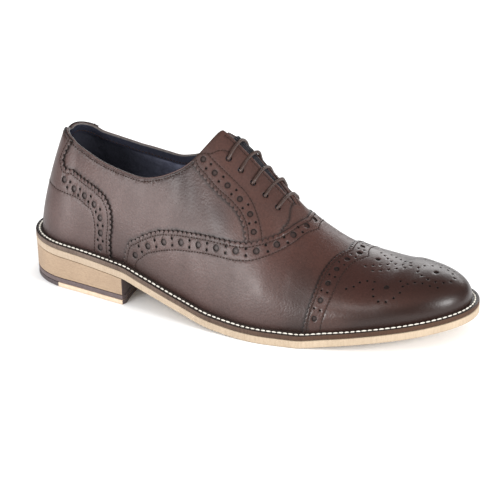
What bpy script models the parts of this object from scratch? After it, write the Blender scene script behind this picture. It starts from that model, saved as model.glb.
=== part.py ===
"""A brown leather brogue shoe for the right foot: cap toe, closed lacing, welted leather sole.

Metres, +Z up. The toe points along +X, the outer (lateral) side faces -Y, and the origin is
on the floor below the middle of the shoe's box.
"""
import math

import bmesh
import bpy
from mathutils import Vector

# Lengths of the last and of the shoe's silhouette
LENGTH = 0.292
BALL_WIDTH = 0.090
HEEL_RADIUS = 0.034
TOE_ROUNDING = 0.067
TOE_FAN = 0.030
HEEL_HEIGHT = 0.018
TOE_SPRING = 0.0135
INSTEP_HEIGHT = 0.0975
TOE_HEIGHT = 0.0238
BACK_HEIGHT = 0.0665
TOE_OFFSET = 0.0100
INSTEP_OFFSET = 0.0034

# How full the rounded ends of the outline are: 2 is an ellipse, more is squarer
HEEL_POWER = 2.2
TOE_POWER = 2.3

# Throat, facings and eyelets
THROAT_LENGTH = 0.0505
THROAT_BASE = 0.185
THROAT_HALF_GAP = 0.0045
EYELET_ROWS = 5
EYELET_FROM_BASE = 0.0086
EYELET_PITCH = 0.00815
EYELET_INSET = 0.0138
EYELET_BORE = 0.0036

# Thicknesses of the leathers and the clearance between neighbours
WALL = 0.0018
OVERLAY = 0.0011
CAP = 0.0022
TONGUE = 0.0018
OUTSOLE = 0.0047
WELT = 0.0031
INSOLE_RISE = 0.0024
HEEL_LIFT = 0.0030
TOP_PIECE = 0.0029
FIT = 0.0003

# How far the sole's edges stand out from the last's edge
WELT_REACH = 0.0060
HEEL_REACH = 0.0058
HEEL_TAPER = 0.0003
BREAST_HOLLOW = 0.0060
BREAST_FROM_BACK = 0.0800
RUBBER_FROM_BACK = 0.0270

LACE_DIAMETER = 0.0023
SKIN_DEPTH = 0.0010
CAP_FROM_TOE = 0.0767
CAP_SKEW = 0.10
TONGUE_WIDTH = 0.25
TONGUE_REACH = 0.0120

# The lace: its play, how far a hidden run keeps below an eyelet as a rise, how deep it dips
# into an eyelet as shares of its runs' depth and height, and its points along bars and runs
LACE_PLAY = 0.0001
LACE_LANE = 0.075
BELOW_EYELET = 0.85
ABOVE_EYELET = 0.50
BAR_SHARES = (0.06, 0.35, 0.68)
RUN_SHARES = (0.15, 0.50, 0.85)

# How far the cutters reach past the shoe, and how deep the eyelets' bores go
CUT_TOP = 0.20
CUT_BOTTOM = -0.05
CUT_ASIDE = 0.10
CUT_BEYOND = 0.05
BORE_DEPTH = 0.012

# Outline of the last's edge: share of LENGTH, then outer and inner shares of BALL_WIDTH
OUTLINE = (
    (0.00, 0.310, 0.315),
    (0.12, 0.335, 0.335),
    (0.22, 0.372, 0.330),
    (0.32, 0.410, 0.305),
    (0.42, 0.456, 0.290),
    (0.52, 0.508, 0.340),
    (0.61, 0.523, 0.430),
    (0.69, 0.487, 0.495),
    (0.77, 0.424, 0.520),
    (0.85, 0.366, 0.525),
    (0.93, 0.320, 0.520),
    (1.00, 0.295, 0.515),
)

# Underside of the outsole: share of LENGTH, then shares of HEEL_HEIGHT and TOE_SPRING
BOTTOM = (
    (-0.03, 1.27, 0.00),
    (0.00, 1.25, 0.00),
    (0.12, 1.17, 0.00),
    (0.27, 1.00, 0.00),
    (0.32, 0.79, 0.00),
    (0.42, 0.38, 0.00),
    (0.51, 0.10, 0.00),
    (0.60, 0.00, 0.00),
    (0.70, 0.00, 0.00),
    (0.77, 0.00, 0.20),
    (0.85, 0.00, 0.48),
    (0.93, 0.00, 0.75),
    (1.00, 0.00, 1.00),
    (1.03, 0.00, 1.08),
)

# Sections of the last: share of LENGTH; the ridge's height as shares of INSTEP_HEIGHT and
# TOE_HEIGHT; its offset as shares of INSTEP_OFFSET and TOE_OFFSET; swell, belly and shoulder
SECTIONS = (
    (0.116, 0.99, 0.00, 0.10, 0.00, 0.04, 0.20, 0.24),
    (0.200, 1.10, 0.00, 0.25, 0.00, 0.04, 0.23, 0.38),
    (0.300, 1.13, 0.00, 0.50, 0.00, 0.05, 0.245, 0.48),
    (0.400, 1.10, 0.00, 0.80, 0.00, 0.05, 0.255, 0.55),
    (0.476, 1.00, 0.00, 1.00, 0.00, 0.05, 0.27, 0.60),
    (0.560, 0.80, 0.00, 0.90, 0.00, 0.05, 0.29, 0.625),
    (0.630, 0.60, 0.00, 0.75, 0.05, 0.05, 0.33, 0.655),
    (0.700, 0.31, 0.52, 0.30, 0.20, 0.05, 0.38, 0.68),
    (0.780, 0.10, 0.86, 0.00, 0.55, 0.05, 0.435, 0.71),
    (0.860, 0.00, 1.00, 0.00, 0.80, 0.05, 0.49, 0.74),
    (0.900, 0.00, 0.89, 0.00, 0.90, 0.05, 0.52, 0.76),
)

# Top edge of the quarters above the last's edge: share of LENGTH, share of BACK_HEIGHT
COLLAR = (
    (-0.02, 1.00),
    (0.05, 0.99),
    (0.12, 0.935),
    (0.20, 0.86),
    (0.28, 0.845),
    (0.34, 0.945),
    (0.39, 1.10),
    (0.425, 1.26),
    (0.46, 1.52),
    (0.476, 1.70),
)

# Rear edge of the vamp in side view: share of LENGTH, share of the ridge's height
VAMP_EDGE = (
    (0.266, -0.05),
    (0.278, 0.107),
    (0.302, 0.180),
    (0.331, 0.248),
    (0.359, 0.301),
    (0.398, 0.354),
    (0.436, 0.399),
    (0.476, 0.456),
    (0.512, 0.508),
    (0.546, 0.565),
    (0.579, 0.642),
    (0.601, 0.729),
    (0.621, 0.826),
    (0.631, 0.892),
    (0.637, 0.941),
    (0.642, 0.981),
    (0.648, 1.100),
)

# Front and upper edge of the heel counter with its back strip, as for VAMP_EDGE
COUNTER_EDGE = (
    (0.230, -0.05),
    (0.231, 0.112),
    (0.233, 0.199),
    (0.230, 0.267),
    (0.218, 0.328),
    (0.192, 0.376),
    (0.155, 0.422),
    (0.117, 0.470),
    (0.090, 0.500),
    (0.083, 0.550),
    (0.094, 0.640),
    (0.110, 0.800),
)

# Rear edge of the facings in side view, from above the collar down to the vamp
FACING_EDGE = (
    (0.400, 0.900),
    (0.426, 0.755),
    (0.453, 0.750),
    (0.489, 0.743),
    (0.521, 0.745),
    (0.546, 0.735),
    (0.558, 0.700),
    (0.565, 0.560),
)

# Depth of the tongue's outer face below the last: share of LENGTH, metres
TONGUE_DEPTH = (
    (0.46, 0.0062),
    (0.60, 0.0062),
    (0.64, 0.0036),
    (0.70, 0.0034),
)

# How finely the forms are drawn
HEEL_STEPS = 7
QUARTER_STEPS = 10
THROAT_STEPS = 7
VAMP_STEPS = 9
TOE_STEPS = 6
HEIGHT_STEPS = 8
EDGE_STEPS = 42
HEEL_ROWS = 14
RUBBER_ROWS = 6
LEATHER_ROWS = 8
HEEL_COLUMNS = 6
TONGUE_ROWS = 12
TONGUE_COLUMNS = 5
BORE_SIDES = 10
SMOOTH_ANGLE = 35

# Where a plate starts and ends, as a share of its outline's turn, so that its ends stay open
END_TRIM = 0.012

# Steps that slopes and edges are measured over: a share of the outline's turn, a share of a
# section or a rise, and a rise
TURN_STEP = 0.0005
SLOPE_STEP = 0.004
RISE_STEP = 0.002
MERGE = 0.00001

LATERAL = -1
MEDIAL = 1

# Base colour, roughness and metallic value of each material
COLOURS = {
    "quarter leather": ((0.16, 0.095, 0.075), 0.42, 0.0),
    "vamp leather": ((0.13, 0.070, 0.055), 0.40, 0.0),
    "cap leather": ((0.045, 0.028, 0.024), 0.30, 0.0),
    "counter leather": ((0.12, 0.070, 0.058), 0.42, 0.0),
    "facing leather": ((0.15, 0.080, 0.060), 0.42, 0.0),
    "tongue leather": ((0.030, 0.032, 0.045), 0.60, 0.0),
    "insole leather": ((0.020, 0.022, 0.035), 0.60, 0.0),
    "welt leather": ((0.060, 0.040, 0.034), 0.50, 0.0),
    "outsole leather": ((0.78, 0.66, 0.48), 0.60, 0.0),
    "stacked leather": ((0.55, 0.42, 0.29), 0.60, 0.0),
    "dark lift": ((0.14, 0.10, 0.095), 0.60, 0.0),
    "top piece leather": ((0.72, 0.62, 0.48), 0.60, 0.0),
    "top piece rubber": ((0.035, 0.030, 0.030), 0.70, 0.0),
    "waxed lace": ((0.085, 0.055, 0.048), 0.50, 0.0),
}


def clear_scene():
    for old in list(bpy.data.objects):
        bpy.data.objects.remove(old, do_unlink=True)


def read(table, column, at):
    """A column of a table at a place along it, on a smooth curve that never overshoots."""
    places = [row[0] for row in table]
    values = [row[column] for row in table]
    at = min(max(at, places[0]), places[-1])
    slopes = [(values[k + 1] - values[k]) / (places[k + 1] - places[k]) for k in range(len(table) - 1)]
    tangents = [slopes[0]]
    for before, after in zip(slopes, slopes[1:]):
        level = before * after <= 0.0
        tangents.append(0.0 if level else 2.0 * before * after / (before + after))
    tangents.append(slopes[-1])
    k = 0
    while k < len(slopes) - 1 and at > places[k + 1]:
        k += 1
    step = places[k + 1] - places[k]
    t = (at - places[k]) / step
    start = values[k] * (1 + 2 * t) * (1 - t) ** 2 + step * tangents[k] * t * (1 - t) ** 2
    end = values[k + 1] * t * t * (3 - 2 * t) + step * tangents[k + 1] * t * t * (t - 1)
    return start + end


def end_narrowing(x):
    """The outline's width as a share of its full width, rounded at the heel and the toe."""
    if x < HEEL_RADIUS:
        gone = min((HEEL_RADIUS - max(x, 0.0)) / HEEL_RADIUS, 1.0)
        return (1 - gone ** HEEL_POWER) ** (1 / HEEL_POWER)
    toe_start = LENGTH - TOE_ROUNDING
    if x > toe_start:
        gone = min((x - toe_start) / TOE_ROUNDING, 1.0)
        return (1 - gone ** TOE_POWER) ** 0.5
    return 1.0


def outline_middle(x):
    share = x / LENGTH
    return BALL_WIDTH * (read(OUTLINE, 2, share) - read(OUTLINE, 1, share)) / 2


def outline_half(x):
    share = x / LENGTH
    return BALL_WIDTH * (read(OUTLINE, 2, share) + read(OUTLINE, 1, share)) / 2 * end_narrowing(x)


def sole_bottom(x):
    share = x / LENGTH
    return HEEL_HEIGHT * read(BOTTOM, 1, share) + TOE_SPRING * read(BOTTOM, 2, share)


def welt_bottom(x):
    return sole_bottom(x) + OUTSOLE + FIT


def welt_top(x):
    return welt_bottom(x) + WELT


def feather(x):
    """Height of the last's edge, where the upper meets the welt."""
    return welt_top(x) + FIT


def edge_point(side, turn, reach):
    """A point of the sole's outline, from the back (turn 0) to the toe (turn 1)."""

    def on_last(t):
        x = LENGTH / 2 * (1 - math.cos(math.pi * t))
        return x, outline_middle(x) + side * outline_half(x)

    back, front = on_last(max(turn - TURN_STEP, 0.0)), on_last(min(turn + TURN_STEP, 1.0))
    along = Vector((front[0] - back[0], front[1] - back[1])).normalized()
    if turn <= 0.0 or turn >= 1.0:
        along = Vector((0.0, -side if turn >= 1.0 else side))
    x, y = on_last(turn)
    return x - side * along.y * reach, y + side * along.x * reach


def ridge_height(share):
    return INSTEP_HEIGHT * read(SECTIONS, 1, share) + TOE_HEIGHT * read(SECTIONS, 2, share)


def ridge_offset(share):
    return INSTEP_OFFSET * read(SECTIONS, 3, share) + TOE_OFFSET * read(SECTIONS, 4, share)


def place_of(around):
    """The place along the shoe of a section between the heel's and the toe's middle."""
    return HEEL_RADIUS + around * (LENGTH - TOE_FAN - HEEL_RADIUS)


def around_at(x):
    return (x - HEEL_RADIUS) / (LENGTH - TOE_FAN - HEEL_RADIUS)


def section_feet(side, around):
    """Where a section of the last stands: its centre and its foot on the outline."""
    if around < 0:
        turn = -around * math.pi / 2
        width = outline_half(HEEL_RADIUS) * max(math.cos(turn), 0.0) ** (2 / HEEL_POWER)
        foot_x = HEEL_RADIUS * (1 - math.sin(turn) ** (2 / HEEL_POWER))
        return HEEL_RADIUS, foot_x, outline_middle(HEEL_RADIUS) * math.cos(turn) ** 2 + side * width
    centre_x = place_of(min(around, 1.0))
    foot_x = centre_x + TOE_FAN * math.sin(max(around - 1, 0.0) * math.pi / 2)
    return centre_x, foot_x, outline_middle(foot_x) + side * outline_half(foot_x)


def last_point(side, around, rise):
    """A point of the closed last. Around is -1 at the back, 0 beside the heel's middle,
    1 beside the toe's middle and 2 at its tip; rise is 0 on the edge and 1 on the ridge."""
    centre_x, foot_x, foot_y = section_feet(side, around)
    share = centre_x / LENGTH
    swell, belly, shoulder = (read(SECTIONS, column, share) for column in (5, 6, 7))
    low, mid, high = (1 - rise) ** 3, 3 * rise * (1 - rise) ** 2, 3 * rise * rise * (1 - rise)
    out = low + mid * (1 + swell) + high * shoulder
    up = mid * belly + high + rise ** 3
    centre_y = ridge_offset(share)
    foot_z = feather(foot_x)
    return Vector((
        centre_x + (foot_x - centre_x) * out,
        centre_y + (foot_y - centre_y) * out,
        foot_z + (feather(centre_x) + ridge_height(share) - foot_z) * up,
    ))


def lifted_point(side, around, rise, lift):
    """A point at a distance from the last, out along its normal."""
    before = last_point(side, max(around - SLOPE_STEP, -1.0), rise)
    after = last_point(side, min(around + SLOPE_STEP, 2.0), rise)
    below = last_point(side, around, rise - SLOPE_STEP)
    above = last_point(side, around, rise + SLOPE_STEP)
    normal = (above - below).cross(after - before) * side
    return last_point(side, around, rise) + normal.normalized() * lift


def throat_half_gap(x):
    return THROAT_HALF_GAP * (THROAT_BASE - x) / THROAT_LENGTH


def is_open(side, around, rise):
    """Whether the upper is cut away here, for the collar or the throat."""
    point = last_point(side, around, rise)
    above_collar = point.z - feather(point.x) > BACK_HEIGHT * read(COLLAR, 1, point.x / LENGTH)
    corner = THROAT_BASE - THROAT_LENGTH
    from_ridge = abs(point.y - ridge_offset(point.x / LENGTH))
    beside_throat = corner - THROAT_LENGTH / 2 < point.x < THROAT_BASE
    in_throat = beside_throat and from_ridge < throat_half_gap(point.x)
    return in_throat or (point.x <= corner and above_collar)


def top_rise(side, around):
    """The rise at which the upper ends, on its collar, its throat or its ridge."""
    steps = 60
    for k in range(1, steps + 1):
        if is_open(side, around, k / steps):
            low, high = (k - 1) / steps, k / steps
            for _ in range(18):
                middle = (low + high) / 2
                if is_open(side, around, middle):
                    high = middle
                else:
                    low = middle
            return low
    return 1.0


def around_stations():
    """Places of the upper's sections, from the back to the toe's tip."""
    corner = around_at(THROAT_BASE - THROAT_LENGTH)
    base = around_at(THROAT_BASE)
    stations = [-1 + k / HEEL_STEPS for k in range(HEEL_STEPS)]
    stations += [corner * k / QUARTER_STEPS for k in range(QUARTER_STEPS)]
    stations += [corner + (base - corner) * k / THROAT_STEPS for k in range(THROAT_STEPS)]
    stations += [base + (1 - base) * k / VAMP_STEPS for k in range(VAMP_STEPS)]
    stations += [1 + k / TOE_STEPS for k in range(TOE_STEPS + 1)]
    return stations


def mesh_object(name, points, faces, material):
    mesh = bpy.data.meshes.new(name)
    mesh.from_pydata([tuple(point) for point in points], [], faces)
    tidy = bmesh.new()
    tidy.from_mesh(mesh)
    bmesh.ops.remove_doubles(tidy, verts=tidy.verts, dist=MERGE)
    tidy.to_mesh(mesh)
    tidy.free()
    return add_object(name, mesh, material)


def add_object(name, data, material):
    piece = bpy.data.objects.new(name, data)
    if material:
        data.materials.append(MATERIALS[material])
        SHOE.objects.link(piece)
        if piece.type == "MESH":
            data.shade_smooth()
            data.set_sharp_from_angle(angle=math.radians(SMOOTH_ANGLE))
    else:
        CUTTERS.objects.link(piece)
        piece.display_type = "WIRE"
        piece.hide_render = True
    piece.parent = STAND
    return piece


def make_material(name, colour, roughness, metallic):
    material = bpy.data.materials.new(name)
    material.use_nodes = True
    shader = material.node_tree.nodes["Principled BSDF"]
    shader.inputs["Base Color"].default_value = (*colour, 1.0)
    shader.inputs["Roughness"].default_value = roughness
    shader.inputs["Metallic"].default_value = metallic
    return material


def slab(name, sections, material, closed=False):
    """A solid from sections, each a row of (low, high) points across it."""
    width = len(sections[0])
    points = [point for section in sections for pair in section for point in pair]
    faces = []

    def at(section, column, level):
        return ((section % len(sections)) * width + column) * 2 + level

    for i in range(len(sections) if closed else len(sections) - 1):
        for j in range(width - 1):
            faces.append((at(i, j, 0), at(i, j + 1, 0), at(i + 1, j + 1, 0), at(i + 1, j, 0)))
            faces.append((at(i, j, 1), at(i + 1, j, 1), at(i + 1, j + 1, 1), at(i, j + 1, 1)))
        last = width - 1
        faces.append((at(i, 0, 0), at(i + 1, 0, 0), at(i + 1, 0, 1), at(i, 0, 1)))
        faces.append((at(i, last, 0), at(i, last, 1), at(i + 1, last, 1), at(i + 1, last, 0)))
    if not closed:
        end = len(sections) - 1
        for j in range(width - 1):
            faces.append((at(0, j, 0), at(0, j, 1), at(0, j + 1, 1), at(0, j + 1, 0)))
            faces.append((at(end, j, 0), at(end, j + 1, 0), at(end, j + 1, 1), at(end, j, 1)))
    piece = mesh_object(name, points, faces, material)
    solid = bmesh.new()
    solid.from_mesh(piece.data)
    bmesh.ops.recalc_face_normals(solid, faces=solid.faces)
    solid.to_mesh(piece.data)
    solid.free()
    return piece


def plate(name, reach, low, high, material):
    """A plate with the sole's outline, from edge to edge."""
    sections = []
    for k in range(EDGE_STEPS + 1):
        turn = END_TRIM + (1 - 2 * END_TRIM) * k / EDGE_STEPS
        row = []
        for side in (LATERAL, MEDIAL):
            x, y = edge_point(side, turn, reach)
            row.append((Vector((x, y, low(x))), Vector((x, y, high(x)))))
        sections.append(row)
    return slab(name, sections, material)


def welt_ring():
    """The welt, a ring that carries the upper's edge and shows beyond it."""
    turns = [(LATERAL, k / EDGE_STEPS) for k in range(EDGE_STEPS + 1)]
    turns += [(MEDIAL, k / EDGE_STEPS) for k in range(EDGE_STEPS - 1, 0, -1)]
    inner = -(SKIN_DEPTH + WALL + FIT)
    sections = []
    for side, turn in turns:
        row = []
        for reach in (inner, WELT_REACH):
            x, y = edge_point(side, turn, reach)
            row.append((Vector((x, y, welt_bottom(x))), Vector((x, y, welt_top(x)))))
        sections.append(row)
    return slab("welt", sections, "welt leather", closed=True)


def turn_at(x):
    return math.acos(1 - 2 * x / LENGTH) / math.pi


def heel_slab(name, start, end, low, high, material, steps):
    """A layer of the heel between two places along it, hollow at the breast."""
    sections = []
    for k in range(steps + 1):
        turn = start + (end - start) * k / steps
        row = []
        for j in range(HEEL_COLUMNS + 1):
            pair = []
            for level in (low, high):
                across = j / HEEL_COLUMNS
                height = min(level(HEEL_RADIUS) / HEEL_HEIGHT, 1.0)
                reach = HEEL_REACH - HEEL_TAPER * (1 - height)
                outer = edge_point(LATERAL, turn, reach)
                inner = edge_point(MEDIAL, turn, reach)
                x = outer[0] + (inner[0] - outer[0]) * across
                y = outer[1] + (inner[1] - outer[1]) * across
                near_breast = max(1 - (BREAST_FROM_BACK - x) / (BREAST_FROM_BACK / 3), 0.0)
                x -= BREAST_HOLLOW * (1 - (2 * across - 1) ** 2) * near_breast
                pair.append(Vector((x, y, level(x))))
            row.append(tuple(pair))
        sections.append(row)
    return slab(name, sections, material)


def build_heel():
    back, breast = END_TRIM, turn_at(BREAST_FROM_BACK)
    lift_low = TOP_PIECE + FIT
    stack_low = lift_low + HEEL_LIFT + FIT
    heel_slab("heel_stack", back, breast, lambda x: stack_low, lambda x: sole_bottom(x) - FIT,
              "stacked leather", HEEL_ROWS)
    heel_slab("heel_lift", back, breast, lambda x: lift_low, lambda x: lift_low + HEEL_LIFT,
              "dark lift", HEEL_ROWS)
    heel_slab("top_piece_rubber", back, turn_at(RUBBER_FROM_BACK), lambda x: 0.0,
              lambda x: TOP_PIECE, "top piece rubber", RUBBER_ROWS)
    heel_slab("top_piece_leather", turn_at(RUBBER_FROM_BACK + FIT), breast, lambda x: 0.0,
              lambda x: TOP_PIECE, "top piece leather", LEATHER_ROWS)


def skin_mesh():
    """The upper's open surface on the last, from the outer toe round the heel to the inner toe."""
    stations = around_stations()
    columns = [(LATERAL, around) for around in reversed(stations)]
    columns += [(MEDIAL, around) for around in stations[1:]]
    points = []
    for side, around in columns:
        top = top_rise(side, around)
        points += [last_point(side, around, top * j / HEIGHT_STEPS) for j in range(HEIGHT_STEPS + 1)]
    rows = HEIGHT_STEPS + 1
    faces = []
    for i in range(len(columns) - 1):
        for j in range(HEIGHT_STEPS):
            low, high = i * rows + j, (i + 1) * rows + j
            faces.append((low, low + 1, high + 1))
            faces.append((low, high + 1, high))
    mesh = bpy.data.meshes.new("skin")
    mesh.from_pydata([tuple(point) for point in points], [], faces)
    joined = bmesh.new()
    joined.from_mesh(mesh)
    bmesh.ops.remove_doubles(joined, verts=joined.verts, dist=MERGE)
    bmesh.ops.dissolve_degenerate(joined, edges=joined.edges, dist=MERGE)
    joined.to_mesh(mesh)
    joined.free()
    return mesh


def shell(name, skin, low_lift, high_lift, material):
    """A form between two distances from the last."""
    piece = add_object(name, skin.copy(), material)
    solid = piece.modifiers.new("thickness", "SOLIDIFY")
    solid.thickness = high_lift - low_lift
    solid.offset = (high_lift + low_lift) / (high_lift - low_lift)
    solid.use_rim = True
    return piece


def cut(piece, cutter, operation):
    modifier = piece.modifiers.new(cutter.name, "BOOLEAN")
    modifier.operation = operation
    modifier.object = cutter
    modifier.solver = "EXACT"


def prism(name, outline, low_y=-CUT_ASIDE, high_y=CUT_ASIDE):
    """A cutter across the shoe from its side view, each point (x, z, forward lean per y)."""
    count = len(outline)
    points = [(x + lean * y, y, z) for y in (low_y, high_y) for x, z, lean in outline]
    faces = [tuple(range(count)), tuple(range(2 * count - 1, count - 1, -1))]
    for k in range(count):
        after = (k + 1) % count
        faces.append((k, k + count, after + count, after))
    cutter = mesh_object(name, points, faces, None)
    solid = bmesh.new()
    solid.from_mesh(cutter.data)
    bmesh.ops.recalc_face_normals(solid, faces=solid.faces)
    solid.to_mesh(cutter.data)
    solid.free()
    return cutter


def side_line(table, back=0.0, up=0.0):
    """A line of the pattern in side view, moved back and up by a clearance."""
    line = []
    for share, rise in table:
        x = share * LENGTH
        line.append((x - back, feather(x) + rise * ridge_height(share) + up, 0.0))
    return line


def vamp_cutter(name, clearance):
    front = LENGTH - CAP_FROM_TOE - FIT
    rear = side_line(VAMP_EDGE, clearance, clearance)
    frame = [(rear[-1][0], CUT_TOP, 0.0), (front, CUT_TOP, CAP_SKEW), (front, CUT_BOTTOM, CAP_SKEW)]
    return prism(name, rear + frame + [(rear[0][0], CUT_BOTTOM, 0.0)])


def build_overlays(skin):
    low = FIT - SKIN_DEPTH
    high = low + OVERLAY
    vamp = shell("vamp", skin, low, high, "vamp leather")
    cut(vamp, vamp_cutter("vamp_pattern", 0.0), "INTERSECT")

    cap = shell("toe_cap", skin, low, low + CAP, "cap leather")
    start = LENGTH - CAP_FROM_TOE
    beyond = LENGTH + CUT_BEYOND
    cut(cap, prism("cap_pattern", [(start, CUT_TOP, CAP_SKEW), (beyond, CUT_TOP, 0.0),
                                   (beyond, CUT_BOTTOM, 0.0), (start, CUT_BOTTOM, CAP_SKEW)]),
        "INTERSECT")

    counter = shell("heel_counter", skin, low, high, "counter leather")
    edge = side_line(COUNTER_EDGE)
    frame = [(edge[-1][0], CUT_TOP, 0.0), (-CUT_BEYOND, CUT_TOP, 0.0), (-CUT_BEYOND, CUT_BOTTOM, 0.0)]
    cut(counter, prism("counter_pattern", edge + frame + [(edge[0][0], CUT_BOTTOM, 0.0)]), "INTERSECT")

    facings = []
    vamp_room = vamp_cutter("vamp_room", FIT)
    edge = side_line(FACING_EDGE)
    front = VAMP_EDGE[-1][0] * LENGTH
    frame = [(front, edge[-1][1], 0.0), (front, CUT_TOP, 0.0), (edge[0][0], CUT_TOP, 0.0)]
    split = ridge_offset(THROAT_BASE / LENGTH)
    halves = (("facing_lateral", -CUT_ASIDE, split - FIT / 2), ("facing_medial", split + FIT / 2, CUT_ASIDE))
    for name, low_y, high_y in halves:
        facing = shell(name, skin, low, high, "facing leather")
        cut(facing, prism(name + "_pattern", edge + frame, low_y, high_y), "INTERSECT")
        cut(facing, vamp_room, "DIFFERENCE")
        facings.append(facing)
    return facings


def eyelet_places():
    """For each row from the lowest up: its place around and, for each side, its rise."""
    places = []
    for row in range(EYELET_ROWS):
        around = around_at(THROAT_BASE - EYELET_FROM_BASE - row * EYELET_PITCH)
        rises = {}
        for side in (LATERAL, MEDIAL):
            rise = top_rise(side, around)
            gone = 0.0
            point = last_point(side, around, rise)
            while gone < EYELET_INSET:
                rise -= RISE_STEP
                lower = last_point(side, around, rise)
                gone += (lower - point).length
                point = lower
            rises[side] = rise
        places.append((around, rises))
    return places


def eyelet_cutter(places):
    holes = bmesh.new()
    for around, rises in places:
        for side, rise in rises.items():
            centre = lifted_point(side, around, rise, 0.0)
            normal = (lifted_point(side, around, rise, BORE_DEPTH) - centre).normalized()
            turned = normal.to_track_quat("Z", "Y").to_matrix().to_4x4()
            turned.translation = centre
            bmesh.ops.create_cone(holes, cap_ends=True, segments=BORE_SIDES, radius1=EYELET_BORE / 2,
                                  radius2=EYELET_BORE / 2, depth=BORE_DEPTH, matrix=turned)
    bmesh.ops.recalc_face_normals(holes, faces=holes.faces)
    mesh = bpy.data.meshes.new("eyelet_bores")
    holes.to_mesh(mesh)
    holes.free()
    return add_object("eyelet_bores", mesh, None)


def build_tongue():
    """The tongue, deep enough below the facings for the lace's hidden runs."""
    start = around_at(THROAT_BASE - THROAT_LENGTH - FIT)
    end = around_at(THROAT_BASE + TONGUE_REACH)
    along, across = TONGUE_ROWS, TONGUE_COLUMNS
    points = []
    for i in range(along + 1):
        around = start + (end - start) * i / along
        depth = read(TONGUE_DEPTH, 1, place_of(around) / LENGTH)
        row = [(LATERAL, j / across) for j in range(across)]
        row += [(MEDIAL, 1 - j / across) for j in range(across + 1)]
        points += [lifted_point(side, around, 1 - TONGUE_WIDTH * (1 - t), -depth) for side, t in row]
    width = 2 * across + 1
    faces = []
    for i in range(along):
        for j in range(width - 1):
            low, high = i * width + j, (i + 1) * width + j
            faces.append((low, high, high + 1, low + 1))
    tongue = mesh_object("tongue", points, faces, "tongue leather")
    solid = tongue.modifiers.new("thickness", "SOLIDIFY")
    solid.thickness = TONGUE
    solid.offset = -1.0


def lace_points(places):
    """The lace's middle line: straight bars over the throat, hidden runs beside it."""
    radius = LACE_DIAMETER / 2
    over = FIT - SKIN_DEPTH + OVERLAY + FIT + radius + LACE_PLAY
    under = -(SKIN_DEPTH + WALL + FIT + radius + LACE_PLAY)
    points = []

    def add(side, around, rise, lift):
        points.append(lifted_point(side, around, rise, lift))

    def add_bar(row, first):
        around, rises = places[row]
        second = -first
        low, high = rises[first], rises[second]
        add(first, around, low, under * BELOW_EYELET)
        add(first, around, low, over * ABOVE_EYELET)
        for t in BAR_SHARES:
            add(first, around, low + (1 - low) * t, over)
        add(first, around, 1.0, over)
        for t in reversed(BAR_SHARES):
            add(second, around, high + (1 - high) * t, over)
        add(second, around, high, over * ABOVE_EYELET)
        add(second, around, high, under * BELOW_EYELET)

    def add_run(row, side):
        around, rises = places[row]
        after, later = places[row + 1]
        for t in RUN_SHARES:
            add(side, around + (after - around) * t, rises[side] + (later[side] - rises[side]) * t, under)

    for row in range(EYELET_ROWS - 1, -1, -1):
        around, rises = places[row]
        add(LATERAL, around, rises[LATERAL] + LACE_LANE, under)
    add(LATERAL, places[0][0], places[0][1][LATERAL] + LACE_LANE * 0.3, under)
    first = LATERAL
    for row in range(EYELET_ROWS):
        add_bar(row, first)
        first = -first
        if row < EYELET_ROWS - 1:
            add_run(row, first)
    around, rises = places[-1]
    add(first, around, rises[first] + LACE_LANE * 0.3, under)
    add(first, around, rises[first] + LACE_LANE, under)
    return points


def build_lace(places):
    curve = bpy.data.curves.new("lace", "CURVE")
    curve.dimensions = "3D"
    curve.bevel_depth = LACE_DIAMETER / 2
    curve.bevel_resolution = 2
    curve.use_fill_caps = True
    line = curve.splines.new("POLY")
    points = lace_points(places)
    line.points.add(len(points) - 1)
    for slot, point in zip(line.points, points):
        slot.co = (*point, 1.0)
    add_object("lace", curve, "waxed lace")


def centre_of_outline():
    points = [edge_point(side, k / 200, WELT_REACH) for side in (LATERAL, MEDIAL) for k in range(201)]
    middle = []
    for axis in (0, 1):
        values = [point[axis] for point in points]
        middle.append((min(values) + max(values)) / 2)
    return middle


clear_scene()
MATERIALS = {name: make_material(name, *values) for name, values in COLOURS.items()}
SHOE = bpy.data.collections.new("brogue_shoe")
CUTTERS = bpy.data.collections.new("cutters")
bpy.context.scene.collection.children.link(SHOE)
bpy.context.scene.collection.children.link(CUTTERS)
STAND = bpy.data.objects.new("stand", None)
SHOE.objects.link(STAND)
STAND.location = (*(-value for value in centre_of_outline()), 0.0)

plate("outsole", WELT_REACH, sole_bottom, lambda x: sole_bottom(x) + OUTSOLE, "outsole leather")
welt_ring()
plate("insole", -(SKIN_DEPTH + WALL + 2 * FIT), welt_bottom, lambda x: feather(x) + INSOLE_RISE,
      "insole leather")
build_heel()

skin = skin_mesh()
upper = shell("upper", skin, -(SKIN_DEPTH + WALL), -SKIN_DEPTH, "quarter leather")
facings = build_overlays(skin)
places = eyelet_places()
bores = eyelet_cutter(places)
for piece in [upper] + facings:
    cut(piece, bores, "DIFFERENCE")
build_tongue()
build_lace(places)
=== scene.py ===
"""The looks of a brown cap-toe brogue for the right foot, on a pale floor.

Metres, +Z up, toe along +X, outer side along -Y. The leathers are cut on a flat pattern of the
last: a point of the pattern lies on the line from the last's middle to its edge, at the share
of the way that the rise leaves, and every panel, seam, hole and edge is laid out there.
"""
import math

import bmesh
import bpy
import numpy as np
from mathutils import Matrix, Vector, geometry
from mathutils.kdtree import KDTree

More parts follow.
